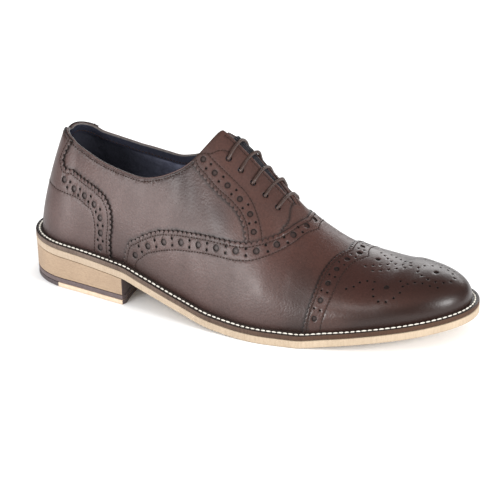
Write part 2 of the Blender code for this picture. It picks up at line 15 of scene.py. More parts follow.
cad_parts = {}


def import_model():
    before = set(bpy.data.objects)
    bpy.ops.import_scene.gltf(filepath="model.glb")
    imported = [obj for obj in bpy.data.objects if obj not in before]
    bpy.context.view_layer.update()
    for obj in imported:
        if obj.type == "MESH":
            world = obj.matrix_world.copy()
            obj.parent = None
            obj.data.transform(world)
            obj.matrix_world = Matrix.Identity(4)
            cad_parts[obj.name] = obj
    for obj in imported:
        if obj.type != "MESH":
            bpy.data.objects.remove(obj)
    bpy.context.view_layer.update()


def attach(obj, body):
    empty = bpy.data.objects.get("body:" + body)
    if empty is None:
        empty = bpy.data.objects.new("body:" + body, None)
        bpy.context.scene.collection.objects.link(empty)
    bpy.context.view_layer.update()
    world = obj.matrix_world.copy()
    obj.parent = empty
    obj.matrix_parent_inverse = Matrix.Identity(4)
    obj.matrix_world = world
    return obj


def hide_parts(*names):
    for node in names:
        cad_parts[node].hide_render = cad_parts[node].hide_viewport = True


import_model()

# Sizes of the last, the sole and the leathers, in metres, as the solids have them
LENGTH = 0.292
BALL_WIDTH = 0.090
HEEL_RADIUS = 0.034
TOE_ROUNDING = 0.067
TOE_FAN = 0.030
HEEL_HEIGHT = 0.018
TOE_SPRING = 0.0135
INSTEP_HEIGHT = 0.0975
TOE_HEIGHT = 0.0238
BACK_HEIGHT = 0.0665
TOE_OFFSET = 0.0100
INSTEP_OFFSET = 0.0034
THROAT_LENGTH = 0.0505
THROAT_BASE = 0.185
THROAT_HALF_GAP = 0.0045
EYELET_ROWS = 5
EYELET_FROM_BASE = 0.0086
EYELET_PITCH = 0.00815
EYELET_INSET = 0.0138
EYELET_BORE = 0.0036
WALL = 0.0018
OVERLAY = 0.0011
CAP = 0.0022
TONGUE = 0.0018
OUTSOLE = 0.0047
WELT = 0.0031
INSOLE_RISE = 0.0024
HEEL_LIFT = 0.0030
TOP_PIECE = 0.0029
FIT = 0.0003
WELT_REACH = 0.0060
HEEL_REACH = 0.0058
BREAST_HOLLOW = 0.0060
BREAST_FROM_BACK = 0.0800
RUBBER_FROM_BACK = 0.0270
LACE = 0.0021
SKIN_DEPTH = 0.0010
TONGUE_WIDTH = 0.25
TONGUE_REACH = 0.0120

# How full the rounded ends of the outline are: 2 is an ellipse, more is squarer
HEEL_POWER = 2.2
TOE_POWER = 2.3

# Outline of the last's edge: share of LENGTH, then outer and inner shares of BALL_WIDTH
OUTLINE = (
    (0.00, 0.310, 0.315),
    (0.12, 0.335, 0.335),
    (0.22, 0.372, 0.330),
    (0.32, 0.410, 0.305),
    (0.42, 0.456, 0.290),
    (0.52, 0.508, 0.340),
    (0.61, 0.523, 0.430),
    (0.69, 0.487, 0.495),
    (0.77, 0.424, 0.520),
    (0.85, 0.366, 0.525),
    (0.93, 0.320, 0.520),
    (1.00, 0.295, 0.515),
)

# Underside of the outsole: share of LENGTH, then shares of HEEL_HEIGHT and TOE_SPRING
BOTTOM = (
    (-0.03, 1.27, 0.00),
    (0.00, 1.25, 0.00),
    (0.12, 1.17, 0.00),
    (0.27, 1.00, 0.00),
    (0.32, 0.79, 0.00),
    (0.42, 0.38, 0.00),
    (0.51, 0.10, 0.00),
    (0.60, 0.00, 0.00),
    (0.70, 0.00, 0.00),
    (0.77, 0.00, 0.20),
    (0.85, 0.00, 0.48),
    (0.93, 0.00, 0.75),
    (1.00, 0.00, 1.00),
    (1.03, 0.00, 1.08),
)

# Sections of the last: share of LENGTH; the ridge's height as shares of INSTEP_HEIGHT and
# TOE_HEIGHT; its offset as shares of INSTEP_OFFSET and TOE_OFFSET; swell, belly and shoulder
SECTIONS = (
    (0.116, 0.99, 0.00, 0.10, 0.00, 0.04, 0.20, 0.24),
    (0.200, 1.10, 0.00, 0.25, 0.00, 0.04, 0.23, 0.38),
    (0.300, 1.13, 0.00, 0.50, 0.00, 0.05, 0.245, 0.48),
    (0.400, 1.10, 0.00, 0.80, 0.00, 0.05, 0.255, 0.55),
    (0.476, 1.00, 0.00, 1.00, 0.00, 0.05, 0.27, 0.60),
    (0.560, 0.80, 0.00, 0.90, 0.00, 0.05, 0.29, 0.625),
    (0.630, 0.60, 0.00, 0.75, 0.05, 0.05, 0.33, 0.655),
    (0.700, 0.31, 0.52, 0.30, 0.20, 0.05, 0.38, 0.68),
    (0.780, 0.10, 0.86, 0.00, 0.55, 0.05, 0.435, 0.71),
    (0.860, 0.00, 1.00, 0.00, 0.80, 0.05, 0.49, 0.74),
    (0.900, 0.00, 0.89, 0.00, 0.90, 0.05, 0.52, 0.76),
)

# Top edge of the quarters above the last's edge: share of LENGTH, share of BACK_HEIGHT
COLLAR = (
    (-0.02, 1.00),
    (0.05, 0.99),
    (0.12, 0.935),
    (0.20, 0.86),
    (0.28, 0.845),
    (0.34, 0.945),
    (0.39, 1.10),
    (0.425, 1.26),
    (0.46, 1.52),
    (0.476, 1.70),
)

# Depth of the tongue's outer face below the last: share of LENGTH, metres
TONGUE_DEPTH = (
    (0.46, 0.0062),
    (0.60, 0.0062),
    (0.64, 0.0036),
    (0.70, 0.0034),
)

# Lines of the leather pattern, each point a share of LENGTH and a rise
VAMP_EDGE = (
    (0.264, -0.03), (0.268, 0.013), (0.278, 0.120), (0.302, 0.185), (0.331, 0.240), (0.359, 0.281),
    (0.398, 0.320), (0.436, 0.352), (0.476, 0.392), (0.512, 0.428), (0.546, 0.468), (0.579, 0.525),
    (0.601, 0.590), (0.621, 0.679), (0.631, 0.752), (0.637, 0.820), (0.642, 0.900), (0.647, 1.0),
)
VAMP_HOLES = (
    (0.291, 0.040), (0.305, 0.119), (0.337, 0.192), (0.378, 0.253), (0.419, 0.292), (0.463, 0.334),
    (0.508, 0.380), (0.549, 0.430), (0.585, 0.486), (0.619, 0.592), (0.641, 0.725), (0.652, 0.870),
    (0.658, 1.0),
)
VAMP_INNER = (
    (0.300, -0.03), (0.301, 0.030), (0.320, 0.113), (0.361, 0.191), (0.401, 0.240), (0.440, 0.277),
    (0.481, 0.319), (0.517, 0.350), (0.570, 0.410), (0.591, 0.448), (0.617, 0.526), (0.638, 0.628),
    (0.655, 0.756), (0.665, 0.904), (0.673, 1.0),
)
VAMP_UNDER = (
    (0.318, -0.03), (0.324, 0.030), (0.350, 0.105), (0.400, 0.190), (0.480, 0.275), (0.570, 0.365),
    (0.617, 0.470), (0.655, 0.640), (0.680, 0.820), (0.692, 1.0),
)
COUNTER_EDGE = (
    (0.116, 0.700), (0.104, 0.575), (0.089, 0.510), (0.083, 0.474), (0.088, 0.444), (0.117, 0.430),
    (0.155, 0.383), (0.192, 0.345), (0.218, 0.307), (0.230, 0.259), (0.233, 0.204), (0.230, 0.127),
    (0.230, 0.009), (0.230, -0.03),
)
COUNTER_HOLES = (
    (0.084, 0.398), (0.097, 0.378), (0.122, 0.350), (0.154, 0.318), (0.184, 0.282), (0.203, 0.217),
    (0.205, 0.120), (0.203, 0.006),
)
COUNTER_INNER = (
    (0.0, 0.336), (0.020, 0.335), (0.042, 0.333), (0.060, 0.330), (0.073, 0.325), (0.095, 0.322),
    (0.123, 0.314), (0.160, 0.274), (0.183, 0.229), (0.189, 0.178), (0.187, 0.003), (0.187, -0.03),
)
FACING_EDGE = (
    (0.410, 0.700), (0.426, 0.640), (0.453, 0.623), (0.489, 0.613), (0.521, 0.617), (0.546, 0.604),
    (0.560, 0.570), (0.569, 0.516), (0.576, 0.450),
)
FACING_HOLES = (
    (0.437, 0.700), (0.452, 0.690), (0.482, 0.684), (0.512, 0.686), (0.540, 0.682), (0.568, 0.654),
    (0.583, 0.582),
)
FACING_INNER = (
    (0.430, 0.690), (0.443, 0.722), (0.459, 0.758), (0.471, 0.806), (0.483, 0.838), (0.494, 0.856),
)
FACING_FRONT = (
    (0.452, 0.735), (0.475, 0.732), (0.497, 0.735), (0.523, 0.740), (0.549, 0.740), (0.569, 0.713),
    (0.587, 0.660), (0.598, 0.610), (0.604, 0.560),
)
FACING_UNDER = (
    (0.586, 0.450), (0.606, 0.520), (0.634, 0.620), (0.650, 0.740), (0.658, 0.865), (0.664, 1.0),
)
# Where the outer facing ends on the inner one, from the slit's end down to the vamp
CLOSING = (
    (0.618, 1.0), (0.619, 0.955), (0.623, 0.914), (0.628, 0.871), (0.630, 0.826), (0.628, 0.776),
    (0.627, 0.690),
)
CAP_EDGE = (
    (0.716, -0.03), (0.718, 0.066), (0.724, 0.272), (0.728, 0.472), (0.729, 0.662), (0.733, 0.839),
    (0.742, 1.0),
)
CAP_HOLES = (
    (0.735, 0.030), (0.738, 0.160), (0.742, 0.300), (0.746, 0.472), (0.748, 0.662), (0.752, 0.839),
    (0.764, 1.0),
)
CAP_INNER = (
    (0.751, -0.03), (0.752, 0.060), (0.759, 0.274), (0.764, 0.466), (0.765, 0.697), (0.769, 0.870),
    (0.783, 1.0),
)
CAP_UNDER = ((0.772, -0.03), (0.775, 0.30), (0.780, 0.65), (0.800, 1.0))

LATERAL = -1
MEDIAL = 1
SIDES = (LATERAL, MEDIAL)

# Pitch and depth of the pinked edges, and the punched holes
GIMP_PITCH = 0.0034
GIMP_DEPTH = 0.0014
CAP_GIMP_PITCH = 0.0030
CAP_GIMP_DEPTH = 0.0008
BIG_HOLE = 0.0040
SMALL_HOLE = 0.0016
HOLE_PITCH = 0.0128
CLOSE_PITCH = 0.0105

# A hole from this radius up is cut round and shows its floor
LARGE_RADIUS = 0.001

# How far the first row of stitches lies inside each edge
VAMP_ROW = 0.0024
CAP_ROW = 0.0018
COUNTER_ROW = 0.0023
FACING_ROW = 0.0021
THROAT_ROW = 0.0027
COLLAR_ROW = 0.0019
TAPE_ROW = 0.0046
TAPE_WIDTH = 0.0062

# Places along the shoe where the collar's row and its tape end and the throat's row starts
COLLAR_ROW_END = 0.1265
TAPE_END = 0.1290
THROAT_ROW_START = 0.1365

# Stitches, each a length, a width and a height, and their pitches
BROWN_STITCH = (0.0016, 0.00085, 0.0005)
WHITE_STITCH = (0.0031, 0.0013, 0.0010)
STITCH_PITCH = 0.0021
TAPE_PITCH = 0.0024
WELT_PITCH = 0.0035
WELT_SEAM = 0.0033

# The rise to which the leathers run in under the last's edge
TUCK = -0.012

# Where the slit ends, and how much further the inner facing stands back from its middle
SLIT_END = 0.1815
INNER_GAP = 0.0036


# The last, as the solids have it, for arrays of places

COLUMNS = {}


def read(table, column, at):
    """A column of a table at places along it, on a smooth curve that never overshoots."""
    key = (id(table), column)
    if key not in COLUMNS:
        places = np.array([row[0] for row in table])
        values = np.array([row[column] for row in table])
        slopes = np.diff(values) / np.diff(places)
        product, total = slopes[:-1] * slopes[1:], slopes[:-1] + slopes[1:]
        middle = np.where(product > 0, 2 * product / np.where(total == 0, 1, total), 0)
        COLUMNS[key] = places, values, np.concatenate(([slopes[0]], middle, [slopes[-1]]))
    places, values, tangents = COLUMNS[key]
    at = np.clip(at, places[0], places[-1])
    k = np.searchsorted(places[1:-1], at, side="left")
    step = places[k + 1] - places[k]
    t = (at - places[k]) / step
    start = values[k] * (1 + 2 * t) * (1 - t) ** 2 + step * tangents[k] * t * (1 - t) ** 2
    end = values[k + 1] * t * t * (3 - 2 * t) + step * tangents[k + 1] * t * t * (t - 1)
    return start + end


def travelled(points):
    """The way gone at each point of a line, from its first."""
    return np.concatenate([[0], np.cumsum(np.linalg.norm(np.diff(points, axis=0), axis=1))])


def directions(points):
    along = np.gradient(points, axis=0)
    return along / np.linalg.norm(along, axis=-1, keepdims=True)


def end_narrowing(x):
    heel = (HEEL_RADIUS - np.clip(x, 0, HEEL_RADIUS)) / HEEL_RADIUS
    toe = np.clip(x - (LENGTH - TOE_ROUNDING), 0, TOE_ROUNDING) / TOE_ROUNDING
    return (1 - heel ** HEEL_POWER) ** (1 / HEEL_POWER) * (1 - toe ** TOE_POWER) ** 0.5


def outline_middle(x):
    return BALL_WIDTH * (read(OUTLINE, 2, x / LENGTH) - read(OUTLINE, 1, x / LENGTH)) / 2


def outline_half(x):
    width = BALL_WIDTH * (read(OUTLINE, 2, x / LENGTH) + read(OUTLINE, 1, x / LENGTH)) / 2
    return width * end_narrowing(x)


def sole_bottom(x):
    return HEEL_HEIGHT * read(BOTTOM, 1, x / LENGTH) + TOE_SPRING * read(BOTTOM, 2, x / LENGTH)


def welt_bottom(x):
    return sole_bottom(x) + OUTSOLE + FIT


def feather(x):
    return welt_bottom(x) + WELT + FIT


def edge_points(side, turn, reach):
    """Points of the sole's outline, from the back (turn 0) to the toe (turn 1)."""
    side, turn, reach = np.broadcast_arrays(np.float64(side), turn, reach)

    def on_last(t):
        x = LENGTH / 2 * (1 - np.cos(np.pi * t))
        return x, outline_middle(x) + side * outline_half(x)

    back, front = on_last(np.clip(turn - 0.0005, 0, 1)), on_last(np.clip(turn + 0.0005, 0, 1))
    along = np.stack([front[0] - back[0], front[1] - back[1]])
    along = along / np.linalg.norm(along, axis=0)
    along[:, turn <= 0] = np.stack([np.zeros_like(side), side])[:, turn <= 0]
    along[:, turn >= 1] = np.stack([np.zeros_like(side), -side])[:, turn >= 1]
    x, y = on_last(turn)
    return x - side * along[1] * reach, y + side * along[0] * reach


def ridge_height(share):
    return INSTEP_HEIGHT * read(SECTIONS, 1, share) + TOE_HEIGHT * read(SECTIONS, 2, share)


def ridge_offset(share):
    return INSTEP_OFFSET * read(SECTIONS, 3, share) + TOE_OFFSET * read(SECTIONS, 4, share)


# Where the toe's fan of sections starts, and the way from the heel's fan to it
TOE_START = LENGTH - TOE_FAN
BODY = TOE_START - HEEL_RADIUS


def ridge_y(x):
    return ridge_offset(np.clip(x, HEEL_RADIUS, TOE_START) / LENGTH)


def around_at(x):
    return (x - HEEL_RADIUS) / BODY


def around_of(points, row=0):
    """The place around of one of a line's points."""
    return around_at(points[row][0] * LENGTH)


def section_feet(side, around):
    turn = np.clip(-around, 0, 1) * np.pi / 2
    power = 2 / HEEL_POWER
    heel_y = outline_middle(HEEL_RADIUS) * np.cos(turn) ** 2
    heel_y = heel_y + side * outline_half(HEEL_RADIUS) * np.clip(np.cos(turn), 0, 1) ** power
    centre_x = HEEL_RADIUS + np.clip(around, 0, 1) * BODY
    foot_x = centre_x + TOE_FAN * np.sin(np.clip(around - 1, 0, 1) * np.pi / 2)
    body_y = outline_middle(foot_x) + side * outline_half(foot_x)
    heel = around < 0
    foot_x = np.where(heel, HEEL_RADIUS * (1 - np.sin(turn) ** power), foot_x)
    return centre_x, foot_x, np.where(heel, heel_y, body_y)


def last_points(side, around, rise):
    """Points of the last: around is -1 at the back, 1 beside the toe's middle and 2 at its
    tip; rise is 0 on the edge and 1 on the ridge."""
    centre_x, foot_x, foot_y = section_feet(side, around)
    share = centre_x / LENGTH
    swell, belly, shoulder = (read(SECTIONS, column, share) for column in (5, 6, 7))
    low, mid, high = (1 - rise) ** 3, 3 * rise * (1 - rise) ** 2, 3 * rise * rise * (1 - rise)
    out = low + mid * (1 + swell) + high * shoulder
    up = mid * belly + high + rise ** 3
    centre_y, foot_z = ridge_offset(share), feather(foot_x)
    return np.stack([
        centre_x + (foot_x - centre_x) * out,
        centre_y + (foot_y - centre_y) * out,
        foot_z + (feather(centre_x) + ridge_height(share) - foot_z) * up,
    ], axis=-1)


# The flat pattern

def pattern(side, around, rise):
    side, around, rise = np.broadcast_arrays(np.float64(side), around, rise)
    centre_x, foot_x, foot_y = section_feet(side, around)
    centre_y = ridge_offset(centre_x / LENGTH)
    out = 1 - rise
    return np.stack([centre_x + (foot_x - centre_x) * out, centre_y + (foot_y - centre_y) * out], axis=-1)


def fan_table(first, last, backward):
    """Bearings of a fan's edge points about its centre, against a signed place round it."""
    around = np.linspace(first, last, 600)
    rows = []
    for side in SIDES:
        centre_x, foot_x, foot_y = section_feet(side, around)
        dx, dy = foot_x - centre_x, foot_y - ridge_offset(centre_x / LENGTH)
        rows.append(np.arctan2(dy, -dx if backward else dx))
    place = np.abs(around - last)
    bearings = np.concatenate([rows[0], rows[1][::-1][1:]])
    return bearings, np.concatenate([-place, place[::-1][1:]])


HEEL_BEARINGS = fan_table(0.0, -1.0, True)
TOE_BEARINGS = fan_table(1.0, 2.0, False)


def unpattern(flat):
    """Side, around and rise of points of the flat pattern."""
    x, y = flat[..., 0], flat[..., 1]
    centre_x, centre_y = np.clip(x, HEEL_RADIUS, TOE_START), ridge_y(x)
    side = np.where(y < centre_y, LATERAL, MEDIAL).astype(float)
    around = around_at(centre_x)
    for fan, here, sign, last in (
        (HEEL_BEARINGS, x < HEEL_RADIUS, -1, -1.0),
        (TOE_BEARINGS, x > TOE_START, 1, 2.0),
    ):
        place = np.interp(np.arctan2(y - centre_y, sign * (x - centre_x)), *fan)
        side = np.where(here, np.where(place < 0, LATERAL, MEDIAL), side)
        around = np.where(here, last - sign * np.abs(place), around)
    centre_x, foot_x, foot_y = section_feet(side, around)
    reach = np.hypot(foot_x - centre_x, foot_y - centre_y)
    return side, around, 1 - np.hypot(x - centre_x, y - centre_y) / reach


def on_last(flat):
    return last_points(*unpattern(flat))


def frames(flat):
    """Points on the last, how they move with the pattern's two directions, and their normals."""
    small = 0.0002
    across = [np.array([small, 0.0]), np.array([0.0, small])]
    point = on_last(flat)
    px, py = ((on_last(flat + d) - on_last(flat - d)) / (2 * small) for d in across)
    normal = np.cross(px, py)
    return point, px, py, normal / np.linalg.norm(normal, axis=-1, keepdims=True)


def moved(flat, px, py, step):
    """Pattern points moved by short steps along the surface."""
    a, b, c = (px * px).sum(-1), (px * py).sum(-1), (py * py).sum(-1)
    u, v = (px * step).sum(-1), (py * step).sum(-1)
    det = a * c - b * b
    return flat + np.stack([(c * u - b * v) / det, (a * v - b * u) / det], axis=-1)


def offset(flat, distance):
    """A line of the pattern moved to its left by a distance on the surface."""
    point, px, py, normal = frames(flat)
    left = np.cross(normal, directions(point))
    return moved(flat, px, py, left * np.broadcast_to(distance, len(flat))[:, None])


def curve_through(points, samples=24):
    """A smooth line through control points."""
    points = np.asarray(points, float)
    gaps = np.linalg.norm(np.diff(points, axis=0), axis=1)
    at = np.concatenate([[0], np.cumsum(gaps)])
    slopes = np.diff(points, axis=0) / gaps[:, None]
    weight = gaps[:-1] / (gaps[:-1] + gaps[1:])
    middle = slopes[:-1] * (1 - weight)[:, None] + slopes[1:] * weight[:, None]
    tangents = np.vstack([slopes[:1], middle, slopes[-1:]])
    rows = []
    for k, gap in enumerate(gaps):
        t = np.linspace(0, 1, samples, endpoint=False)[:, None]
        rows.append(points[k] * (1 + 2 * t) * (1 - t) ** 2 + gap * tangents[k] * t * (1 - t) ** 2
                    + points[k + 1] * t * t * (3 - 2 * t) + gap * tangents[k + 1] * t * t * (t - 1))
    rows.append(points[-1:])
    return np.vstack(rows)


def lengths(flat):
    return travelled(on_last(flat))


def spaced(flat, step, start=0.0, end=0.0):
    """A line's points at an even step on the surface, the step fitted to its length."""
    at = lengths(flat)
    count = max(int(round((at[-1] - start - end) / step)), 1)
    places = np.linspace(start, at[-1] - end, count + 1)
    return np.stack([np.interp(places, at, flat[:, k]) for k in (0, 1)], axis=-1)


def line(points, side):
    """A pattern line through points given as a share of LENGTH and a rise."""
    around = []
    for share, rise in points:
        x = share * LENGTH
        if x < HEEL_RADIUS or x > TOE_START:
            first, last = (-1.0, 0.0) if x < HEEL_RADIUS else (1.0, 2.0)
            places = np.linspace(first, last, 400)
            around.append(np.interp(x, last_points(side, places, np.full(400, rise))[:, 0], places))
        else:
            around.append(around_at(x))
    rises = np.array([rise for _, rise in points])
    return curve_through(pattern(side, np.array(around), rises))


def bisect(low, high, is_past):
    for _ in range(30):
        middle = (low + high) / 2
        past = is_past(middle)
        low, high = np.where(past, low, middle), np.where(past, middle, high)
    return low


def slit_gap(side, x, most=None):
    """How far a facing's edge stands off the slit's middle, and the share of the slit ahead."""
    left = np.clip((SLIT_END - x) / THROAT_LENGTH, 0, most)
    return THROAT_HALF_GAP * left + (INNER_GAP * np.sqrt(left) if side == MEDIAL else 0), left


def top_rises(side, around):
    """The rise at which the upper ends, on its collar or its throat."""
    centre_x = section_feet(side, around)[0]

    def past_collar(rise):
        point = last_points(side, around, rise)
        height = BACK_HEIGHT * read(COLLAR, 1, point[:, 0] / LENGTH)
        return point[:, 2] - feather(point[:, 0]) > height

    def past_throat(rise):
        point = last_points(side, around, rise)
        return np.abs(point[:, 1] - ridge_offset(point[:, 0] / LENGTH)) < slit_gap(side, point[:, 0])[0]

    corner = THROAT_BASE - THROAT_LENGTH
    ones = np.ones_like(around)
    collar = np.where(centre_x <= corner, bisect(0 * ones, ones, past_collar), 1.0)
    throat = np.where(centre_x > corner - THROAT_LENGTH / 2, bisect(0.4 * ones, ones, past_throat), 1.0)
    return np.minimum(collar, throat)


def softened(flat, reach, step=0.0004):
    """A line with its corners rounded over a reach on the surface."""
    even = spaced(flat, step)
    half = int(round(reach / step))
    weights = np.exp(-2 * np.linspace(-1, 1, 2 * half + 1) ** 2)
    weights /= weights.sum()
    padded = np.vstack([2 * even[0] - even[half:0:-1], even, 2 * even[-1] - even[-2:-half - 2:-1]])
    return np.stack([np.convolve(padded[:, k], weights, mode="valid") for k in (0, 1)], axis=-1)


def top_line(side):
    """The collar from the back to its corner, then the throat's edge to its base."""
    around = np.linspace(-1, around_at(SLIT_END), 900)
    edge = softened(pattern(side, around, top_rises(side, around)), 0.0022)
    smooth = softened(edge, 0.011)
    edge = spaced(edge, 0.0004)
    from_corner = THROAT_BASE - THROAT_LENGTH - on_last(edge)[:, 0]
    share = np.clip((from_corner - 0.014) / 0.014, 0, 1)[:, None]
    return edge + (smooth - edge) * share


TOP = {side: top_line(side) for side in SIDES}
OPENING = np.vstack([spaced(TOP[LATERAL], 0.0008), spaced(TOP[MEDIAL], 0.0008)[::-1][1:-1]])

# From the last's frame, with x from the heel's back, to the part's, whose middle is its origin
WELT_RIM = {side: edge_points(side, np.linspace(0, 1, 201), WELT_REACH) for side in SIDES}
SHIFT = -np.array([
    (WELT_RIM[LATERAL][0].min() + WELT_RIM[LATERAL][0].max()) / 2,
    (WELT_RIM[LATERAL][1].min() + WELT_RIM[MEDIAL][1].max()) / 2,
    0.0,
])


# Soft folds of the leather: the middle as a share of LENGTH and a rise, the turn in degrees,
# then half length, half width and depth in millimetres
FOLDS = (
    (0.395, 0.600, -62, 16.0, 4.5, 0.65),
    (0.435, 0.520, -50, 20.0, 5.0, 0.60),
    (0.345, 0.560, -12, 14.0, 5.0, 0.30),
    (0.300, 0.330, 20, 22.0, 9.0, -0.25),
    (0.660, 0.600, -78, 15.0, 3.5, 0.22),
    (0.688, 0.640, -84, 18.0, 3.5, 0.25),
    (0.706, 0.560, -88, 14.0, 3.0, 0.16),
    (0.560, 0.300, 8, 26.0, 6.0, 0.25),
)


def relief(flat):
    """How far the folds lower the leather, the same for every layer. The laces pull the inner
    facing up along its edge and in below it."""
    depth = np.zeros(len(flat))
    for share, rise, turn, half_length, half_width, deep in FOLDS:
        for side in SIDES:
            middle = pattern(side, np.array(around_at(share * LENGTH)), np.array(rise))
            turned = math.radians(turn) * -side
            away = (flat - middle) * 1000
            along = away[:, 0] * math.cos(turned) + away[:, 1] * math.sin(turned)
            across = away[:, 1] * math.cos(turned) - away[:, 0] * math.sin(turned)
            depth += deep * np.exp(-(along / half_length) ** 2 - (across / half_width) ** 2)
    point = on_last(flat)
    aside = (point[:, 1] - ridge_y(point[:, 0])) * 1000
    throat = smooth_step(point[:, 0], 0.122, 0.140) * smooth_step(-point[:, 0], -0.192, -0.176)
    raised, drawn_in = np.exp(-((aside - 5.0) / 3.5) ** 2), np.exp(-((aside - 15.0) / 6.0) ** 2)
    depth -= throat * (0.8 * raised - 1.8 * drawn_in)
    return -depth / 1000


def lifted(flat, lift):
    point, _, _, normal = frames(flat)
    lift = np.broadcast_to(lift, len(flat)) + relief(flat)
    return point + normal * lift[:, None] + SHIFT


# Meshes and materials

def placed(name, data):
    """A new object of the scene, at the origin."""
    made = bpy.data.objects.new(name, data)
    bpy.context.scene.collection.objects.link(made)
    return made


def grid_faces(rows, columns, round_columns=True):
    """Faces between the neighbours of a grid of points whose rows go round."""
    faces = []
    for i in range(rows):
        start, following = i * columns, (i + 1) % rows * columns
        for j in range(columns if round_columns else columns - 1):
            after = (j + 1) % columns
            faces.append((start + j, start + after, following + after, following + j))
    return faces


def make_mesh(name, points, faces, material, smooth_angle=50, values=None):
    mesh = bpy.data.meshes.new(name)
    mesh.from_pydata([tuple(p) for p in points], [], [tuple(f) for f in faces])
    for key, row in (values or {}).items():
        mesh.attributes.new(key, "FLOAT", "POINT").data.foreach_set("value", np.asarray(row, np.float32))
    mesh.shade_smooth()
    mesh.set_sharp_from_angle(angle=math.radians(smooth_angle))
    mesh.materials.append(material)
    return placed(name, mesh)


def joined(name, points, faces, material, smooth_angle=50):
    """A mesh of a swept form, its doubles merged and its faces pointing out."""
    piece = make_mesh(name, points, faces, material, smooth_angle)
    form = bmesh.new()
    form.from_mesh(piece.data)
    bmesh.ops.remove_doubles(form, verts=form.verts, dist=0.00001)
    bmesh.ops.dissolve_degenerate(form, edges=form.edges, dist=0.00001)
    bmesh.ops.recalc_face_normals(form, faces=form.faces)
    form.to_mesh(piece.data)
    form.free()
    piece.data.shade_smooth()
    piece.data.set_sharp_from_angle(angle=math.radians(smooth_angle))
    return piece


def in_loop(points, loop):
    x, y = points[:, 0], points[:, 1]
    a, b = loop, np.roll(loop, -1, axis=0)
    result = np.zeros(len(points), bool)
    for (x1, y1), (x2, y2) in zip(a, b):
        if y1 == y2:
            continue
        crosses = (y1 > y) != (y2 > y)
        result ^= crosses & (x < (x2 - x1) * (y - y1) / (y2 - y1) + x1)
    return result


def in_leather(points, loops):
    """Which points lie inside the first loop and in none of the others."""
    inside = in_loop(points, loops[0])
    for loop in loops[1:]:
        near = (points[:, 0] > loop[:, 0].min()) & (points[:, 0] < loop[:, 0].max())
        if near.any():
            inside[near] &= ~in_loop(points[near], loop)
    return inside


def nearest(points, targets):
    tree = KDTree(len(targets))
    for k, target in enumerate(targets):
        tree.insert(target, k)
    tree.balance()
    return np.array([tree.find(point)[2] for point in points])


def circle(centre, radius, count):
    centres = np.repeat(centre[None], count, axis=0)
    _, px, py, normal = frames(centres)
    first = px[0] / np.linalg.norm(px[0])
    second = np.cross(normal[0], first)
    angle = np.linspace(0, 2 * np.pi, count, endpoint=False)[:, None]
    return moved(centres, px, py, radius * (np.cos(angle) * first + np.sin(angle) * second))


# Half widths of the softened edges and the sewn grooves, how far dye darkens a cut edge and how
# far painted shadow darkens the leather beside a cover's edge, and the depths of the big and the small holes'
# floors
RIM = 0.00035
GROOVE = 0.00045
EDGE_DYE = 0.0002
COVER_SHADOW = 0.0009
BIG_FLOOR = 0.0008
SMALL_FLOOR = 0.0010
FLOOR_SIDES = 12


def staggered(outline, step):
    """Points in staggered rows over the box of an outline."""
    low_corner, high_corner = outline.min(axis=0), outline.max(axis=0)
    xs = np.arange(low_corner[0], high_corner[0], step)
    ys = np.arange(low_corner[1], high_corner[1], step * 0.87)
    gx, gy = np.meshgrid(xs, ys)
    gx = gx + (np.arange(len(ys)) % 2)[:, None] * step / 2
    return np.column_stack([gx.ravel(), gy.ravel()])


def cut_leather(loops, within):
    """Points and triangles of a flat leather, cut along its loops, with more points within."""
    points, edges = [], []
    for loop in loops:
        start = len(points)
        points += list(loop)
        edges += [(start + k, start + (k + 1) % len(loop)) for k in range(len(loop))]
    points += list(within)
    scaled = [Vector((p[0] * 1000, p[1] * 1000)) for p in points]
    found, _, faces, _, _, _ = geometry.delaunay_2d_cdt(scaled, edges, [], 0, 1e-5, False)
    flat = np.array([(p[0], p[1]) for p in found]) / 1000
    faces = np.array([tuple(face) for face in faces])
    faces = faces[in_leather(flat[faces].mean(axis=1), loops)]
    used = np.unique(faces)
    order = np.full(len(flat), -1)
    order[used] = np.arange(len(used))
    return flat[used], order[faces]


def both_faces(faces, count):
    """The top's triangles, the bottom's the other way round, and walls along the free edges."""
    pairs = dict.fromkeys(pair for a, b, c in faces for pair in ((a, b), (b, c), (c, a)))
    walls = [(b, a, a + count, b + count) for a, b in pairs if (b, a) not in pairs]
    return list(map(tuple, faces)) + [(c + count, b + count, a + count) for a, b, c in faces] + walls


